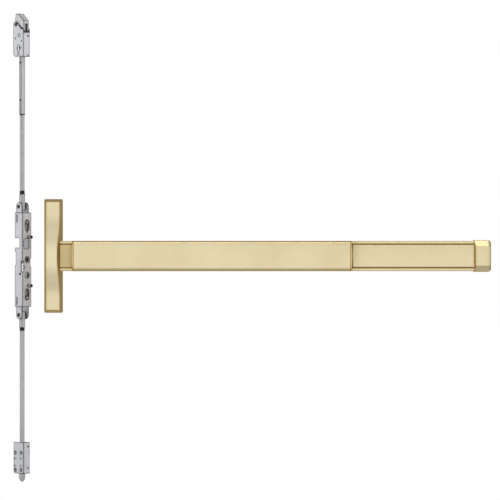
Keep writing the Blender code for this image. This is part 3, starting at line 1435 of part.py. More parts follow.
def rear_corner(back, bottom, radius):
    """What is cut away to round the lower rear corner of a folded case."""
    over = 0.001
    corner = [(back + over, bottom - over), (back + over, bottom + radius)]
    corner += arc((back - radius, bottom + radius), radius, 0, -90, 5)
    corner.append((back - radius, bottom - over))
    return corner


def make_top_case(zinc, mechanism):
    """The folded case of the top latch: its sides rise to rounded ears that hold the latch bolt."""
    section = channel(TOP_CASE_WIDTH, TOP_CASE_FRONT, TOP_CASE_BACK, TOP_CASE_SHEET, TOP_CASE_SHEET * 1.2)
    ear_y = TOP_CASE_BACK - LATCH_EAR_RADIUS
    top = LATCH_PIVOT_Z + LATCH_EAR_RADIUS
    case = make_object(
        "top_latch_case", Solid().prism(section, TOP_CASE_BOTTOM, top + 0.002, "Z"), zinc, mechanism
    )
    reach = TOP_CASE_WIDTH / 2 + 0.001
    far = TOP_CASE_BACK + 0.002
    near = -TOP_CASE_FRONT - 0.002
    over = top + 0.004
    trim = [(near, TOP_CASE_FRONT_TOP), (-TOP_CASE_FRONT * 0.5, TOP_CASE_FRONT_TOP)]
    trim += arc((ear_y, LATCH_PIVOT_Z), LATCH_EAR_RADIUS, 130, 0, 8)
    trim += [(far, LATCH_PIVOT_Z), (far, over), (near, over)]
    cut(case, Solid().prism(trim, -reach, reach, "X"))
    corner = rear_corner(TOP_CASE_BACK, TOP_CASE_BOTTOM, TOP_CASE_REAR_CORNER)
    cut(case, Solid().prism(corner, -reach, reach, "X"))
    mouth = TOP_CASE_WIDTH / 2 - TOP_CASE_SHEET
    gap_back = -TOP_CASE_FRONT + TOP_CASE_SHEET * 1.5
    cut(case, Solid().box((-mouth, near, TOP_CASE_WEB_TOP), (mouth, gap_back, over)))
    holes = Solid()
    holes.cylinder((LATCH_PIVOT_Y, LATCH_PIVOT_Z), LATCH_PIVOT_RADIUS + SEAT, -reach, reach, "X", 12)
    sight = (SIGHT_HOLE_Y, TOP_CASE_BOTTOM + SIGHT_HOLE_HEIGHT)
    holes.cylinder(sight, SIGHT_HOLE_RADIUS, -reach, reach, "X", 12)
    for y, height in TOP_CASE_DIMPLES:
        holes.cylinder((y, TOP_CASE_BOTTOM + height), SMALL_HOLE_RADIUS, -reach, reach, "X", 8)
    half = SPRING_PIN_RADIUS + SLOT_PLAY
    ramp = math.sqrt(KEYHOLE_RADIUS**2 - half**2)
    keyhole = [(half, TOP_CASE_BOTTOM - 0.001), (half, GUIDE_PIN_Z - ramp)]
    start = math.degrees(math.asin(ramp / KEYHOLE_RADIUS))
    keyhole += arc((0, GUIDE_PIN_Z), KEYHOLE_RADIUS, -start, 180 + start, 10)[1:-1]
    keyhole += [(-half, GUIDE_PIN_Z - ramp), (-half, TOP_CASE_BOTTOM - 0.001)]
    holes.prism(keyhole, -reach, -mouth + 0.0005, "X").prism(keyhole, mouth - 0.0005, reach, "X")
    for height in TOP_FACE_SCREW_HEIGHTS:
        centre = (FACE_SCREW_X, TOP_CASE_BOTTOM + height)
        holes.cylinder(centre, FACE_SCREW_RADIUS, near, -TOP_CASE_FRONT + TOP_CASE_SHEET + 0.0005, "Y", 8)
    cut(case, holes)
    half = TOP_CASE_WIDTH / 2 + SEAT
    pivot = (LATCH_PIVOT_Y, LATCH_PIVOT_Z)
    heads = (LATCH_PIVOT_RADIUS * 1.4, 0.0006)
    make_pin("latch_pivot_pin", pivot, LATCH_PIVOT_RADIUS, -half, half, "X", zinc, mechanism, *heads)


def make_latch_bolt(steel, mechanism):
    """The wedge-shaped bolt: two cheeks with a cam slot each, which the rod's pin turns as it drops."""
    pivot = (LATCH_PIVOT_Y, LATCH_PIVOT_Z)
    rear = LATCH_PIVOT_Y + 0.0032
    front = -TOP_CASE_FRONT + 0.0010
    path = pin_path((0, DRIVE_PIN_Z), (0, -1), ROD_TRAVEL, pivot, math.radians(LATCH_SWING))
    low = path[-1][1] - DRIVE_PIN_RADIUS - 0.0022
    outline = rounded(
        [
            (rear, LATCH_TOP, 0.0008),
            (LATCH_PIVOT_Y - 0.0042, LATCH_TOP, 0.0012),
            (front, LATCH_TOP - LATCH_SLOPE, 0.0010),
            (front, low, 0.0020),
            (front + 0.0060, low, 0.0020),
            (LATCH_PIVOT_Y - 0.0030, LATCH_PIVOT_Z - 0.0056, 0.0010),
            (LATCH_PIVOT_Y + 0.0050, LATCH_PIVOT_Z - 0.0045, 0.0036),
            (LATCH_PIVOT_Y + 0.0054, LATCH_PIVOT_Z + 0.0040, 0.0030),
        ]
    )
    half = LATCH_WIDTH / 2
    at = (0.0, LATCH_PIVOT_Y, LATCH_PIVOT_Z)
    bolt = make_object("latch_bolt", Solid().prism(outline, -half, half, "X"), steel, mechanism, at)
    groove_half = TONGUE_THICKNESS / 2 + RUNNING
    clear = TONGUE_WIDTH / 2 + 0.0005
    groove = [(clear, low - 0.01)] + arc((0, DRIVE_PIN_Z), clear, 0, 90, 8)
    groove += [(front - 0.01, DRIVE_PIN_Z + clear), (front - 0.01, low - 0.01)]
    cut(bolt, Solid().prism(groove, -groove_half, groove_half, "X"))
    cam = Solid().prism(slot(path, DRIVE_PIN_RADIUS + SLOT_PLAY), -half - 0.001, half + 0.001, "X")
    cut(bolt, cam)
    cut(bolt, Solid().cylinder(pivot, LATCH_PIVOT_RADIUS + RUNNING, -half - 0.001, half + 0.001, "X", 12))


def make_bottom_latch(zinc, steel, mechanism):
    bend = BOTTOM_CASE_SHEET * 1.2
    section = channel(BOTTOM_CASE_WIDTH, BOTTOM_CASE_FRONT, BOTTOM_CASE_BACK, BOTTOM_CASE_SHEET, bend)
    folded = Solid().prism(section, BOTTOM_CASE_BOTTOM, BOTTOM_CASE_TOP, "Z")
    case = make_object("bottom_latch_case", folded, zinc, mechanism)
    reach = BOTTOM_CASE_WIDTH / 2 + 0.001
    corner = rear_corner(BOTTOM_CASE_BACK, BOTTOM_CASE_BOTTOM, BOTTOM_CASE_REAR_CORNER)
    cut(case, Solid().prism(corner, -reach, reach, "X"))
    bosses = [(y, z) for y in (BOSS_FRONT_Y, BOSS_REAR_Y) for z in BOSS_LEVELS]
    holes = Solid()
    for centre in bosses:
        holes.cylinder(centre, BOSS_RADIUS + SEAT, -reach, reach, "X", 10)
    for depth in BOTTOM_CASE_DIMPLES:
        for y in (BOSS_FRONT_Y, BOSS_REAR_Y):
            centre = (y + SMALL_HOLE_RADIUS, BOTTOM_CASE_TOP - depth)
            holes.cylinder(centre, SMALL_HOLE_RADIUS, -reach, reach, "X", 8)
    face = (-BOTTOM_CASE_FRONT - 0.001, -BOTTOM_CASE_FRONT + BOTTOM_CASE_SHEET + 0.0005)
    for depth in BOTTOM_FACE_SCREW_DEPTHS:
        holes.cylinder((FACE_SCREW_X, BOTTOM_CASE_TOP - depth), FACE_SCREW_RADIUS, *face, "Y", 8)
    cut(case, holes)
    inner = BOTTOM_CASE_WIDTH / 2 - BOTTOM_CASE_SHEET - SEAT
    block_front = -BOTTOM_CASE_FRONT + BOTTOM_CASE_SHEET + SEAT
    block_back = BOTTOM_CASE_BACK - 0.0015
    outline = rectangle((-inner, block_front), (inner, block_back), 0.0006)
    block = make_object(
        "bolt_guide", Solid().prism(outline, GUIDE_BLOCK_BOTTOM, GUIDE_BLOCK_TOP, "Z"), steel, mechanism
    )
    studs = Solid()
    out = BOTTOM_CASE_WIDTH / 2 + BOSS_PROUD
    for centre in bosses:
        studs.cylinder(centre, BOSS_RADIUS, inner - 0.0008, out, "X", 10)
        studs.cylinder(centre, BOSS_RADIUS, -out, -inner + 0.0008, "X", 10)
    fuse(block, studs)
    bore = BOLT_RADIUS + RUNNING
    cut(block, Solid().cylinder((0, 0), bore, GUIDE_BLOCK_BOTTOM - 0.001, GUIDE_BLOCK_TOP + 0.001, "Z", 18))
    nose = [
        (BOLT_RADIUS * math.sqrt(1 - share**1.8), BOLT_TIP + BOLT_NOSE * (1 - share))
        for share in (0.25, 0.5, 0.7, 0.85, 0.95)
    ]
    socket = ROD_RADIUS + SEAT
    profile = [(socket, BOLT_TOP), (BOLT_RADIUS - 0.0005, BOLT_TOP), (BOLT_RADIUS, BOLT_TOP - 0.0005)]
    profile += [(BOLT_RADIUS, BOLT_TIP + BOLT_NOSE)] + nose + [(0, BOLT_TIP)]
    profile = [(0, BOLT_TOP - BOLT_SOCKET), (socket, BOLT_TOP - BOLT_SOCKET)] + profile
    make_object("bottom_bolt", Solid().turned(profile, "Z"), steel, mechanism)
    ring = BOTTOM_CASE_WIDTH / 2 - BOTTOM_CASE_SHEET - SEAT
    bore = ROD_RADIUS + RUNNING
    profile = [
        (bore, GUIDE_RING_Z - GUIDE_RING_LENGTH),
        (ring, GUIDE_RING_Z - GUIDE_RING_LENGTH),
        (ring, GUIDE_RING_Z - 0.0008),
        (ring - 0.0008, GUIDE_RING_Z),
        (bore, GUIDE_RING_Z),
    ]
    make_object("rod_guide_ring", Solid().turned(profile, "Z", ring=True), steel, mechanism)


def make_mechanism(zinc, steel, black, mechanism):
    make_centre_case(zinc, mechanism)
    make_case_screw(steel, mechanism)
    make_post("case_post_upper", POST_UPPER_Z, zinc, mechanism)
    make_post("case_post_lower", POST_LOWER_Z, zinc, mechanism)
    make_slide("top_slide", 1, TOP_SLIDE_INNER, TOP_SLIDE_END, TOP_STUD_Z, -1, zinc, mechanism)
    make_slide("bottom_slide", -1, BOTTOM_SLIDE_INNER, BOTTOM_SLIDE_END, BOTTOM_STUD_Z, 1, zinc, mechanism)
    make_stud("top_stud", TOP_STUD_Z, zinc, mechanism)
    make_stud("bottom_stud", -BOTTOM_STUD_Z, zinc, mechanism)
    make_pinion(steel, mechanism)
    make_slide_spring("top_spring", PINION_Z, TOP_SLIDE_INNER, steel, mechanism)
    make_slide_spring("bottom_spring", -BOTTOM_SLIDE_INNER, PINION_Z - SPRING_TAB_SHEET, steel, mechanism)
    make_rods(zinc, black, mechanism)
    make_sleeve_tube(zinc, mechanism)
    make_rod_head(zinc, mechanism)
    make_top_case(zinc, mechanism)
    make_latch_bolt(steel, mechanism)
    make_bottom_latch(zinc, steel, mechanism)


def make_empty(name, location, turn):
    empty = bpy.data.objects.new(name, None)
    empty.location = location
    empty.rotation_euler.z = math.radians(turn)
    bpy.context.scene.collection.objects.link(empty)
    return empty


def main():
    for old in list(bpy.data.objects):
        bpy.data.objects.remove(old, do_unlink=True)
    brass = make_material("satin_brass", (0.62, 0.50, 0.27), 1.0, 0.34)
    zinc = make_material("zinc_steel", (0.55, 0.55, 0.56), 0.8, 0.42)
    steel = make_material("plain_steel", (0.46, 0.46, 0.48), 0.9, 0.36)
    black = make_material("black_oxide", (0.02, 0.02, 0.02), 0.4, 0.45)
    device = make_empty("touchbar_device", (0, 0, 0), 0)
    mechanism = make_empty("rod_set", (MECHANISM_X, MECHANISM_Y, 0), MECHANISM_TURN)
    make_device(brass, steel, device)
    make_mechanism(zinc, steel, black, mechanism)


main()
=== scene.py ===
"""Vertical rod exit device: finished metal, springs, knurling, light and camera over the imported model.

Metres, +Z up. The door's face is the plane Y = 0. The touchbar device stands before it, at -Y, and the
rod set's axis lies behind it, at +Y. Colours are linear.
"""

import json
import math

import bmesh
import bpy
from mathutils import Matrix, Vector

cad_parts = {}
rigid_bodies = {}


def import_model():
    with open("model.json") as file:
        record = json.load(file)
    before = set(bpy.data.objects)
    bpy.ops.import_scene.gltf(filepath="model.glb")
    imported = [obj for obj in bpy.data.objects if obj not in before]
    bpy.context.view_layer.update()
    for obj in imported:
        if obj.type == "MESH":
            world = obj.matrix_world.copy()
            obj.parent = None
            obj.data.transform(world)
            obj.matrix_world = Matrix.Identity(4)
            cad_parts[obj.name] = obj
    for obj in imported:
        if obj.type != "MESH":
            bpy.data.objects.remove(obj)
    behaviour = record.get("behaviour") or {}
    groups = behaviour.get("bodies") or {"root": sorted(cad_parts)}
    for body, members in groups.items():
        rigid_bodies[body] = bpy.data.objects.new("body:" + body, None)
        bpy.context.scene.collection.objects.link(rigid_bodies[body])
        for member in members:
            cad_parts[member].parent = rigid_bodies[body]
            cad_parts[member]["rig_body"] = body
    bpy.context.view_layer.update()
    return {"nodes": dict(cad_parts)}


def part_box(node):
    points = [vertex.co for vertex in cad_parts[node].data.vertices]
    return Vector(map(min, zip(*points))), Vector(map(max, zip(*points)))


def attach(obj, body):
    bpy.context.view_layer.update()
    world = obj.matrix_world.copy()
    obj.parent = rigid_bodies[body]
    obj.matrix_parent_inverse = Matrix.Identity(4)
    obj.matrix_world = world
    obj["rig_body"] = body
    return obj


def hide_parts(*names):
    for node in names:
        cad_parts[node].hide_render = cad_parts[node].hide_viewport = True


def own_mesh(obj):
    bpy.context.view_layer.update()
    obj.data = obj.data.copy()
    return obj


# The photograph's frame, seen square on: its middle, and its height at DEVICE_DEPTH before the door
VIEW_X = 0.3751
VIEW_Z = 0.0114
VIEW_HEIGHT = 0.950
DEVICE_DEPTH = 0.04
CAMERA_DISTANCE = 9.0
CAMERA_REACH = 200.0
SENSOR = 36.0

# Floor and surroundings
WHITE = (1.0, 1.0, 1.0)
FLOOR_Z = -0.470
FLOOR_HALF = 40.0
FLOOR_TONE = (0.80, 0.80, 0.80)
FLOOR_ROUGHNESS = 0.9
FLOOR_SPECULAR = 0.1
WORLD_SEEN = 1.0
WORLD_MIRRORED = 0.36

# Soft boxes: name, place, aim, width, height and radiance; the apron lies on the floor and shines up
DEVICE_MIDDLE = (0.375, 0.0, 0.0)
SET_MIDDLE = (-0.06, 0.0, 0.0)
LIGHTS = (
    ("front", (0.375, -9.4, 0.9), DEVICE_MIDDLE, 8.0, 6.0, 0.75),
    ("key", (0.2, -3.0, 5.0), DEVICE_MIDDLE, 6.0, 1.6, 3.2),
    ("apron", (0.375, -3.8, FLOOR_Z + 0.01), (0.375, -3.8, 1.0), 8.0, 5.2, 0.74),
    ("left", (-6.0, -1.2, 0.6), SET_MIDDLE, 5.0, 5.0, 1.10),
    ("right", (6.0, -1.2, 0.6), SET_MIDDLE, 5.0, 5.0, 0.95),
)

# Where the rod set's axis stands
SET_X = -0.0608
SET_Y = 0.0220

# Springs, and the share of a slide spring's length that is left when the pad is pressed
SLIDE_SPRING_RADIUS = 0.0042
SLIDE_SPRING_TURNS = 9
SLIDE_SPRING_KEEP = {"top_spring": 0.737, "bottom_spring": 0.748}
PAD_SPRINGS = ("pad_spring_left", "pad_spring_right")
SPRINGS = tuple(SLIDE_SPRING_KEEP) + PAD_SPRINGS
PAD_SPRING_RADIUS = 0.0046
PAD_SPRING_TURNS = 2.5
SPRING_WIRE = 0.0006
SPRING_STEPS = 36
WIRE_SIDES = 10

# Knurled lock rings
RINGS = ("top_lock_ring", "bottom_lock_ring")
RING_RADIUS = 0.0049
RING_BORE = 0.0042
RING_TEETH = 40
RING_TOOTH = 0.00028
RING_CHAMFER = 0.0006
TOOTH_STEPS = 4

# Which CAD nodes share a finish; the rest are plain steel
BRASS_ALONG = ("rail", "push_pad", "end_cap")
BRASS_UPRIGHT = ("head_cover", "pad_end_left", "pad_end_right")
BRASS_INSERT = ("rail_insert",)
BRASS_NECK = ("neck_insert",)
RODS = ("top_rod", "bottom_rod", "sleeve_tube", "top_coupler", "bottom_coupler")
SHEETS = ("centre_case", "top_slide", "bottom_slide", "top_latch_case", "bottom_latch_case")
FORGED = ("latch_bolt", "bolt_guide", "bottom_bolt", "rod_guide_ring", "pinion")
DARK_PINS = (
    "latch_pivot_pin",
    "top_clevis_pin",
    "bottom_clevis_pin",
    "case_screw",
    "tube_pin_upper",
    "tube_pin_lower",
)

# Broken edges: their widths, and the angle in degrees from which an edge is broken and shaded sharp
EDGE_BRASS = 0.0004
EDGE_SHEET = 0.00018
EDGE_STEEL = 0.0002
EDGE_SEGMENTS = 2
SHARP_ANGLE = 38.0

# Points closer than WELD are joined, and faces that turn by less than FLAT_ANGLE degrees are merged
WELD = 2e-6
FLAT_ANGLE = 0.6

# Brass by material name: stretch of the brush lines, light and deep tones, reach of the painted brown
# shade line along edges
ALONG = (0.5, 30.0, 30.0)
UPRIGHT = (30.0, 30.0, 0.5)
BRASS_KINDS = {
    "brass_brushed_along": (ALONG, (0.84, 0.735, 0.475), (0.78, 0.67, 0.41), 0.0022),
    "brass_brushed_upright": (UPRIGHT, (0.88, 0.78, 0.525), (0.82, 0.715, 0.46), 0.0022),
    "brass_insert": (ALONG, (0.84, 0.735, 0.475), (0.78, 0.67, 0.41), 0.0006),
    # The neck's brass: a darker copy of the brass along, painted as if in the shade of the cover and the
    # pad
    "brass_neck_shaded": (ALONG, (0.70, 0.56, 0.29), (0.62, 0.49, 0.24), 0.0006),
}
BRASS_STREAK = (0.95, 0.945, 0.93)
# Painted shade on the brass: a deeper gold on its sides, darker in hollows, a brown line along edges,
# near black in grooves
BRASS_SIDE_SHADE = (0.69, 0.50, 0.18)
BRASS_HOLLOW_SHADE = (0.62, 0.48, 0.22)
BRASS_EDGE_SHADE = (0.54, 0.31, 0.03)
BRASS_GROOVE_SHADE = (0.22, 0.09, 0.004)
BRASS_TINT = (0.90, 0.72, 0.38)
BRASS_ROUGHNESS = (0.38, 0.48)
LACQUER = 0.3
LACQUER_ROUGHNESS = 0.25

# Zinc and steel by material name: light and dark tones, roughness, stretch of rolling lines, metallic
ZINC_KINDS = {
    "plain_steel": ((0.56, 0.56, 0.57), (0.48, 0.48, 0.49), 0.42, (1.0, 1.0, 20.0), 0.85),
    "zinc_rod": ((0.68, 0.68, 0.68), (0.60, 0.60, 0.61), 0.42, (20.0, 20.0, 1.0), 0.4),
    "zinc_sheet": ((0.80, 0.815, 0.85), (0.72, 0.735, 0.77), 0.55, (1.0, 1.0, 14.0), 0.15),
    "pale_steel": ((0.74, 0.74, 0.74), (0.64, 0.64, 0.65), 0.45, (1.0, 1.0, 12.0), 0.35),
    "dark_steel": ((0.12, 0.12, 0.12), (0.07, 0.07, 0.07), 0.38, (9.0, 9.0, 9.0), 0.9),
}
ZINC_STREAK = (0.94, 0.94, 0.95)
# Painted shade: near black along the zinc's edges and in its holes, and how far the painted edge line
# reaches
ZINC_EDGE_SHADE = (0.015, 0.015, 0.015)
ZINC_HOLE_SHADE = (0.02, 0.02, 0.02)
ZINC_LINE = 0.0030

# How far the zinc's roughness falls and rises with its mottle
ZINC_SMOOTHER = 0.06
ZINC_ROUGHER = 0.08

# Black oxide
OXIDE_DARK = (0.008, 0.008, 0.009)
OXIDE_LIGHT = (0.024, 0.023, 0.022)
OXIDE_ROUGHNESS = (0.38, 0.52)
OXIDE_METALLIC = 0.3

# Noise: scale, detail and roughness
BRUSH_NOISE = (60.0, 6.0, 0.7)
BRASS_CLOUD = (9.0, 3.0, 0.55)
ROLLING_NOISE = (90.0, 4.0, 0.6)
ZINC_CLOUD = (55.0, 5.0, 0.6)
OXIDE_CLOUD = (300.0, 4.0, 0.6)

# The part of a noise's range that is spread over a change of tone
NARROW = (0.35, 0.65)
WIDE = (0.30, 0.70)

# Depth of the bump, and how strongly it shows
BRUSH_DEPTH = 0.00003
ROLLING_DEPTH = 0.00002
OXIDE_DEPTH = 0.00003
BUMP_STRENGTH = 0.5

# Painted shade in recesses: reach, and the shares of open sky where the painted darker tone begins and
# is full
BRASS_HOLLOW = (0.025, 0.85, 0.35)
BRASS_SEAM = (0.006, 0.70, 0.25)
ZINC_RECESS = (0.008, 0.70, 0.20)
RECESS_SAMPLES = 8

# Painted shade along brass and zinc edges: how far the rounded normal has turned where the painted dark
# line is full, as a cosine
BRASS_TURN = 0.95
ZINC_TURN = 0.97
EDGE_SAMPLES = 6

# The size of the normal's Y where the painted shade on the brass's sides begins and where it is full
SIDE_BEGINS = 0.96
SIDE_FULL = 0.55


class Nodes:
    """A material's node tree, with short calls to add and join nodes."""

    def __init__(self, name):
        self.material = bpy.data.materials.new(name)
        self.material.use_nodes = True
        self.tree = self.material.node_tree
        self.shader = self.tree.nodes["Principled BSDF"]

    def add(self, kind, **settings):
        """A new node, each setting put on its socket of that name or else on the node."""
        node = self.tree.nodes.new("ShaderNode" + kind)
        for name, value in settings.items():
            if name in node.inputs:
                node.inputs[name].default_value = value
            else:
                setattr(node, name, value)
        return node

    def link(self, source, target):
        self.tree.links.new(source, target)

    def feed(self, source, name):
        """Joins a socket to the shader's socket of that name."""
        self.link(source, self.shader.inputs[name])

    def set(self, **numbers):
        """Puts fixed values on the shader's own sockets."""
        for name, value in numbers.items():
            self.shader.inputs[name.replace("_", " ")].default_value = value

    def place(self, stretch=(1.0, 1.0, 1.0)):
        """Object coordinates stretched by a scale on each axis."""
        coordinates = self.add("TexCoord")
        mapping = self.add("Mapping", Scale=stretch)
        self.link(coordinates.outputs["Object"], mapping.inputs["Vector"])
        return mapping.outputs["Vector"]

    def noise(self, where, scale, detail, rough):
        noise = self.add("TexNoise", Scale=scale, Detail=detail, Roughness=rough)
        self.link(where, noise.inputs["Vector"])
        return noise.outputs["Fac"]

    def span(self, value, low, high, to_low=0.0, to_high=1.0):
        """A value carried from one range to another."""
        spread = self.add("MapRange")
        limits = (("From Min", low), ("From Max", high), ("To Min", to_low), ("To Max", to_high))
        for name, number in limits:
            spread.inputs[name].default_value = number
        self.link(value, spread.inputs["Value"])
        return spread.outputs["Result"]

    def mix(self, share, first, second, mode="MIX"):
        """Two colours mixed, each a socket or a fixed colour, by a socket or a number."""
        mix = self.add("Mix", data_type="RGBA", blend_type=mode)
        colours = [entry for entry in mix.inputs if entry.type == "RGBA"]
        for target, value in ((mix.inputs[0], share), (colours[0], first), (colours[1], second)):
            if isinstance(value, bpy.types.NodeSocket):
                self.link(value, target)
            elif target.type == "RGBA":
                target.default_value = (*value, 1.0)
            else:
                target.default_value = value
        return [entry for entry in mix.outputs if entry.type == "RGBA"][0]

    def streaked(self, lines, limits, tone, streak):
        """A tone darkened a little along brush or rolling lines."""
        return self.mix(1.0, tone, self.mix(self.span(lines, *limits), streak, WHITE), "MULTIPLY")

    def bump(self, height, depth):
        bump = self.add("Bump", Distance=depth, Strength=BUMP_STRENGTH)
        self.link(height, bump.inputs["Height"])
        return bump.outputs["Normal"]

    def near_edge(self, radius, full):
        """0 on a flat and 1 on an edge: how far the normal turns when edges near a point are rounded; it
        places the shade painted along edges.
        """
        rounded = self.add("Bevel", Radius=radius, samples=EDGE_SAMPLES)
        surface = self.add("NewGeometry")
        turned = self.add("VectorMath", operation="DOT_PRODUCT")
        self.link(rounded.outputs["Normal"], turned.inputs[0])
        self.link(surface.outputs["Normal"], turned.inputs[1])
        return self.span(turned.outputs["Value"], 1.0, full)

    def in_recess(self, reach, open_share, shut_share):
        """0 in the open and 1 deep in a groove or a hole: where shade is painted."""
        shade = self.add("AmbientOcclusion", Distance=reach, samples=RECESS_SAMPLES)
        return self.span(shade.outputs["AO"], open_share, shut_share)

    def turned_from_front(self, begins, full):
        """0 where a surface faces the object's front or back and 1 where it faces its sides."""
        surface = self.add("NewGeometry")
        parts = self.add("SeparateXYZ")
        size = self.add("Math", operation="ABSOLUTE")
        self.link(surface.outputs["Normal"], parts.inputs[0])
        self.link(parts.outputs["Y"], size.inputs[0])
        return self.span(size.outputs["Value"], begins, full)


def brushed_brass(name):
    """Satin brass under clear lacquer: brush lines, slow changes of tone, and painted shade on its
    sides, in its hollows, along its edges and in its grooves.
    """
    stretch, light, deep, line = BRASS_KINDS[name]
    nodes = Nodes(name)
    lines = nodes.noise(nodes.place(stretch), *BRUSH_NOISE)
    cloud = nodes.noise(nodes.place(), *BRASS_CLOUD)
    tone = nodes.mix(nodes.span(cloud, *NARROW), deep, light)
    colour = nodes.streaked(lines, WIDE, tone, BRASS_STREAK)
    # Painted shade: faces turned to the sides are painted a deeper gold
    colour = nodes.mix(nodes.turned_from_front(SIDE_BEGINS, SIDE_FULL), colour, BRASS_SIDE_SHADE)
    # Painted shade in the brass's hollows
    colour = nodes.mix(nodes.in_recess(*BRASS_HOLLOW), colour, BRASS_HOLLOW_SHADE)
    # Painted shade: a brown line along the brass's edges
    colour = nodes.mix(nodes.near_edge(line, BRASS_TURN), colour, BRASS_EDGE_SHADE)
    # Painted shade: near black in the brass's grooves
    colour = nodes.mix(nodes.in_recess(*BRASS_SEAM), colour, BRASS_GROOVE_SHADE)
    nodes.feed(colour, "Base Color")
    nodes.feed(nodes.span(lines, *WIDE, *BRASS_ROUGHNESS), "Roughness")
    nodes.feed(nodes.bump(lines, BRUSH_DEPTH), "Normal")
    nodes.set(Metallic=1.0, Specular_Tint=(*BRASS_TINT, 1.0))
    nodes.set(Coat_Weight=LACQUER, Coat_Roughness=LACQUER_ROUGHNESS)
    return nodes.material


def zinc_plate(name):
    """Dull plating: a mottled grey with faint rolling lines, with painted shade along its edges and in
    its holes.
    """
    light, dark, roughness, stretch, metallic = ZINC_KINDS[name]
    nodes = Nodes(name)
    cloud = nodes.noise(nodes.place(), *ZINC_CLOUD)
    lines = nodes.noise(nodes.place(stretch), *ROLLING_NOISE)
    tone = nodes.mix(nodes.span(cloud, *NARROW), dark, light)
    colour = nodes.streaked(lines, NARROW, tone, ZINC_STREAK)
    # Painted shade: near black along the edges
    colour = nodes.mix(nodes.near_edge(ZINC_LINE, ZINC_TURN), colour, ZINC_EDGE_SHADE)
    # Painted shade: near black in holes and slots
    colour = nodes.mix(nodes.in_recess(*ZINC_RECESS), colour, ZINC_HOLE_SHADE)
    nodes.feed(colour, "Base Color")
    rough = nodes.span(cloud, *WIDE, roughness - ZINC_SMOOTHER, roughness + ZINC_ROUGHER)
    nodes.feed(rough, "Roughness")
    nodes.feed(nodes.bump(lines, ROLLING_DEPTH), "Normal")
    nodes.set(Metallic=metallic)
    return nodes.material


def black_oxide(name):
    """Black oxide: nearly black, with a faint mottle and an oiled gloss."""
    nodes = Nodes(name)
    cloud = nodes.noise(nodes.place(), *OXIDE_CLOUD)
    nodes.feed(nodes.mix(nodes.span(cloud, *WIDE), OXIDE_DARK, OXIDE_LIGHT), "Base Color")
    nodes.feed(nodes.span(cloud, *WIDE, *OXIDE_ROUGHNESS), "Roughness")
    nodes.feed(nodes.bump(cloud, OXIDE_DEPTH), "Normal")
    nodes.set(Metallic=OXIDE_METALLIC)
    return nodes.material


def finishes():
    """The material of each CAD node that is listed, and the plain steel of the others."""
    steel = zinc_plate("plain_steel")
    groups = (
        (BRASS_ALONG, brushed_brass("brass_brushed_along")),
        (BRASS_UPRIGHT, brushed_brass("brass_brushed_upright")),
        (BRASS_INSERT, brushed_brass("brass_insert")),
        (BRASS_NECK, brushed_brass("brass_neck_shaded")),
        (RODS, zinc_plate("zinc_rod")),
        (SHEETS, zinc_plate("zinc_sheet")),
        (FORGED, zinc_plate("pale_steel")),
        (DARK_PINS, zinc_plate("dark_steel")),
        (RINGS, black_oxide("black_oxide_ring")),
    )
    return {name: material for names, material in groups for name in names}, steel


def place_object(name, data):
    made = bpy.data.objects.new(name, data)
    bpy.context.scene.collection.objects.link(made)
    return made


def make_object(name, work, material):
    """A piece from a finished bmesh, smooth but for its sharp edges."""
    bmesh.ops.recalc_face_normals(work, faces=work.faces)
    mesh = bpy.data.meshes.new(name)
    work.to_mesh(mesh)
    work.free()
    mesh.shade_smooth()
    mesh.set_sharp_from_angle(angle=math.radians(SHARP_ANGLE))
    mesh.materials.append(material)
    return place_object(name, mesh)


def stand_for(piece, frame, name):
    """The piece takes a CAD node's place: the node is hidden and the piece rides on the node's body."""
    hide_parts(name)
    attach(piece, frame["nodes"][name]["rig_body"])


def edge_width(name):
    if name in BRASS_ALONG + BRASS_UPRIGHT + BRASS_INSERT + BRASS_NECK:
        return EDGE_BRASS
    return EDGE_SHEET if name in SHEETS else EDGE_STEEL


def finish_node(frame, name, material):
    """A CAD node's shape with merged faces and broken edges."""
    work = bmesh.new()
    work.from_mesh(frame["nodes"][name].data)
    bmesh.ops.remove_doubles(work, verts=work.verts, dist=WELD)
    flat = math.radians(FLAT_ANGLE)
    bmesh.ops.dissolve_limit(work, angle_limit=flat, verts=work.verts, edges=work.edges)
    piece = make_object(name + "_finished", work, material)
    broken = piece.modifiers.new("broken edges", "BEVEL")
    broken.width = edge_width(name)
    broken.segments = EDGE_SEGMENTS
    broken.limit_method = "ANGLE"
    broken.angle_limit = math.radians(SHARP_ANGLE)
    broken.use_clamp_overlap = True
    even = piece.modifiers.new("even shading", "WEIGHTED_NORMAL")
    even.keep_sharp = True
    stand_for(piece, frame, name)


def join_rows(work, pairs, count):
    """Faces between each pair of closed rows of points."""
    for first, second in pairs:
        for step in range(count):
            after = (step + 1) % count
            work.faces.new((first[step], first[after], second[after], second[step]))


def coil(centre, radius, low, high, turns):
    """A round wire wound upwards, its first and last half turns flat."""
    work = bmesh.new()
    rows = []
    count = round(turns * SPRING_STEPS)
    dead = 1.0 / turns
    for step in range(count + 1):
        climb = min(max((step / count - dead * 0.5) / (1 - dead), 0.0), 1.0)
        angle = 2 * math.pi * step / SPRING_STEPS
        level = low + SPRING_WIRE + (high - low - 2 * SPRING_WIRE) * climb
        row = []
        for side in range(WIRE_SIDES):
            turn = 2 * math.pi * side / WIRE_SIDES
            out = radius + SPRING_WIRE * math.cos(turn)
            place = (
                centre[0] + out * math.cos(angle),
                centre[1] + out * math.sin(angle),
                level + SPRING_WIRE * math.sin(turn),
            )
            row.append(work.verts.new(place))
        rows.append(row)
    join_rows(work, zip(rows, rows[1:]), WIRE_SIDES)
    work.faces.new(rows[0][::-1])
    work.faces.new(rows[-1])
    return work


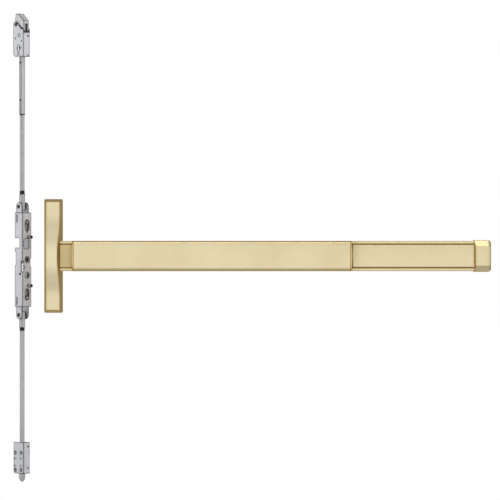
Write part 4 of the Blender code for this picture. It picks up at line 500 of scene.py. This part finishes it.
def make_springs(frame, material):
    """Coils in place of the four springs; each slide spring's coil gets a mesh of its own."""
    for name, keep in SLIDE_SPRING_KEEP.items():
        low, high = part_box(name)
        work = coil((SET_X, SET_Y), SLIDE_SPRING_RADIUS, low.z, high.z, SLIDE_SPRING_TURNS)
        piece = make_object(name + "_coil", work, material)
        stand_for(piece, frame, name)
        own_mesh(piece)
    for name in PAD_SPRINGS:
        low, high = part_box(name)
        middle = ((low.x + high.x) / 2, (low.y + high.y) / 2)
        work = coil(middle, PAD_SPRING_RADIUS, low.z, high.z, PAD_SPRING_TURNS)
        stand_for(make_object(name + "_coil", work, material), frame, name)


def ring_row(work, level, radii):
    """A closed row of points round the rod set's axis, one for each radius."""
    row = []
    for step, out in enumerate(radii):
        angle = 2 * math.pi * step / len(radii)
        row.append(work.verts.new((SET_X + out * math.cos(angle), SET_Y + out * math.sin(angle), level)))
    return row


def make_lock_rings(frame, material):
    """The black rings between coupler and rod, with a straight knurl and chamfered ends."""
    count = RING_TEETH * TOOTH_STEPS
    gap = TOOTH_STEPS // 2
    knurl = [RING_TOOTH if step % TOOTH_STEPS >= gap else 0.0 for step in range(count)]
    toothed = [RING_RADIUS - depth for depth in knurl]
    chamfered = [RING_RADIUS - RING_CHAMFER] * count
    bored = [RING_BORE] * count
    for name in RINGS:
        low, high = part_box(name)
        levels = (
            (low.z, chamfered),
            (low.z + RING_CHAMFER, toothed),
            (high.z - RING_CHAMFER, toothed),
            (high.z, chamfered),
            (high.z, bored),
            (low.z, bored),
        )
        work = bmesh.new()
        rows = [ring_row(work, level, radii) for level, radii in levels]
        join_rows(work, zip(rows, rows[1:] + rows[:1]), count)
        stand_for(make_object(name + "_knurled", work, material), frame, name)


def dress(frame):
    """Gives every CAD node its material and puts a finished piece in its place."""
    chosen, steel = finishes()
    for name, node in frame["nodes"].items():
        material = chosen.get(name, steel)
        node.data.materials.clear()
        node.data.materials.append(material)
        if name not in RINGS + SPRINGS:
            finish_node(frame, name, material)
    make_springs(frame, steel)
    make_lock_rings(frame, chosen[RINGS[0]])


def make_camera():
    """A long lens that looks straight at the door."""
    data = bpy.data.cameras.new("camera")
    data.sensor_width = SENSOR
    data.lens = SENSOR * (CAMERA_DISTANCE - DEVICE_DEPTH) / VIEW_HEIGHT
    data.clip_end = CAMERA_REACH
    camera = place_object("camera", data)
    camera.location = (VIEW_X, -CAMERA_DISTANCE, VIEW_Z)
    camera.rotation_euler = (math.radians(90), 0, 0)
    bpy.context.scene.camera = camera


def area_light(name, place, aim, width, height, radiance):
    """A soft box with an even brightness over its face."""
    data = bpy.data.lights.new(name, "AREA")
    data.shape = "RECTANGLE"
    data.size = width
    data.size_y = height
    data.energy = radiance * math.pi * width * height
    light = place_object(name, data)
    light.location = place
    light.rotation_euler = (Vector(aim) - Vector(place)).to_track_quat("-Z", "Y").to_euler()


def make_floor():
    """A pale floor that the camera sees as plain white."""
    mesh = bpy.data.meshes.new("floor")
    half = FLOOR_HALF
    corners = ((-half, -half), (half, -half), (half, half), (-half, half))
    mesh.from_pydata([(x, y, FLOOR_Z) for x, y in corners], [], [(0, 1, 2, 3)])
    floor = place_object("floor", mesh)
    nodes = Nodes("floor_white")
    nodes.set(Base_Color=(*FLOOR_TONE, 1.0), Roughness=FLOOR_ROUGHNESS)
    nodes.set(Specular_IOR_Level=FLOOR_SPECULAR)
    glow = nodes.add("Emission", Color=(*WHITE, 1.0), Strength=1.0)
    seen = nodes.add("LightPath")
    blend = nodes.add("MixShader")
    nodes.link(seen.outputs["Is Camera Ray"], blend.inputs[0])
    nodes.link(nodes.shader.outputs["BSDF"], blend.inputs[1])
    nodes.link(glow.outputs["Emission"], blend.inputs[2])
    nodes.link(blend.outputs["Shader"], nodes.tree.nodes["Material Output"].inputs["Surface"])
    mesh.materials.append(nodes.material)


def make_world():
    """White behind the object, and a softer grey in what the metal mirrors."""
    world = bpy.data.worlds.new("studio")
    world.use_nodes = True
    tree = world.node_tree
    around = tree.nodes["Background"]
    around.inputs["Color"].default_value = (*WHITE, 1.0)
    seen = tree.nodes.new("ShaderNodeLightPath")
    level = tree.nodes.new("ShaderNodeMapRange")
    level.inputs["To Min"].default_value = WORLD_MIRRORED
    level.inputs["To Max"].default_value = WORLD_SEEN
    tree.links.new(seen.outputs["Is Camera Ray"], level.inputs["Value"])
    tree.links.new(level.outputs["Result"], around.inputs["Strength"])
    bpy.context.scene.world = world


def main():
    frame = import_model()
    bpy.context.scene.view_settings.view_transform = "Standard"
    make_camera()
    make_floor()
    make_world()
    for light in LIGHTS:
        area_light(*light)
    dress(frame)


main()
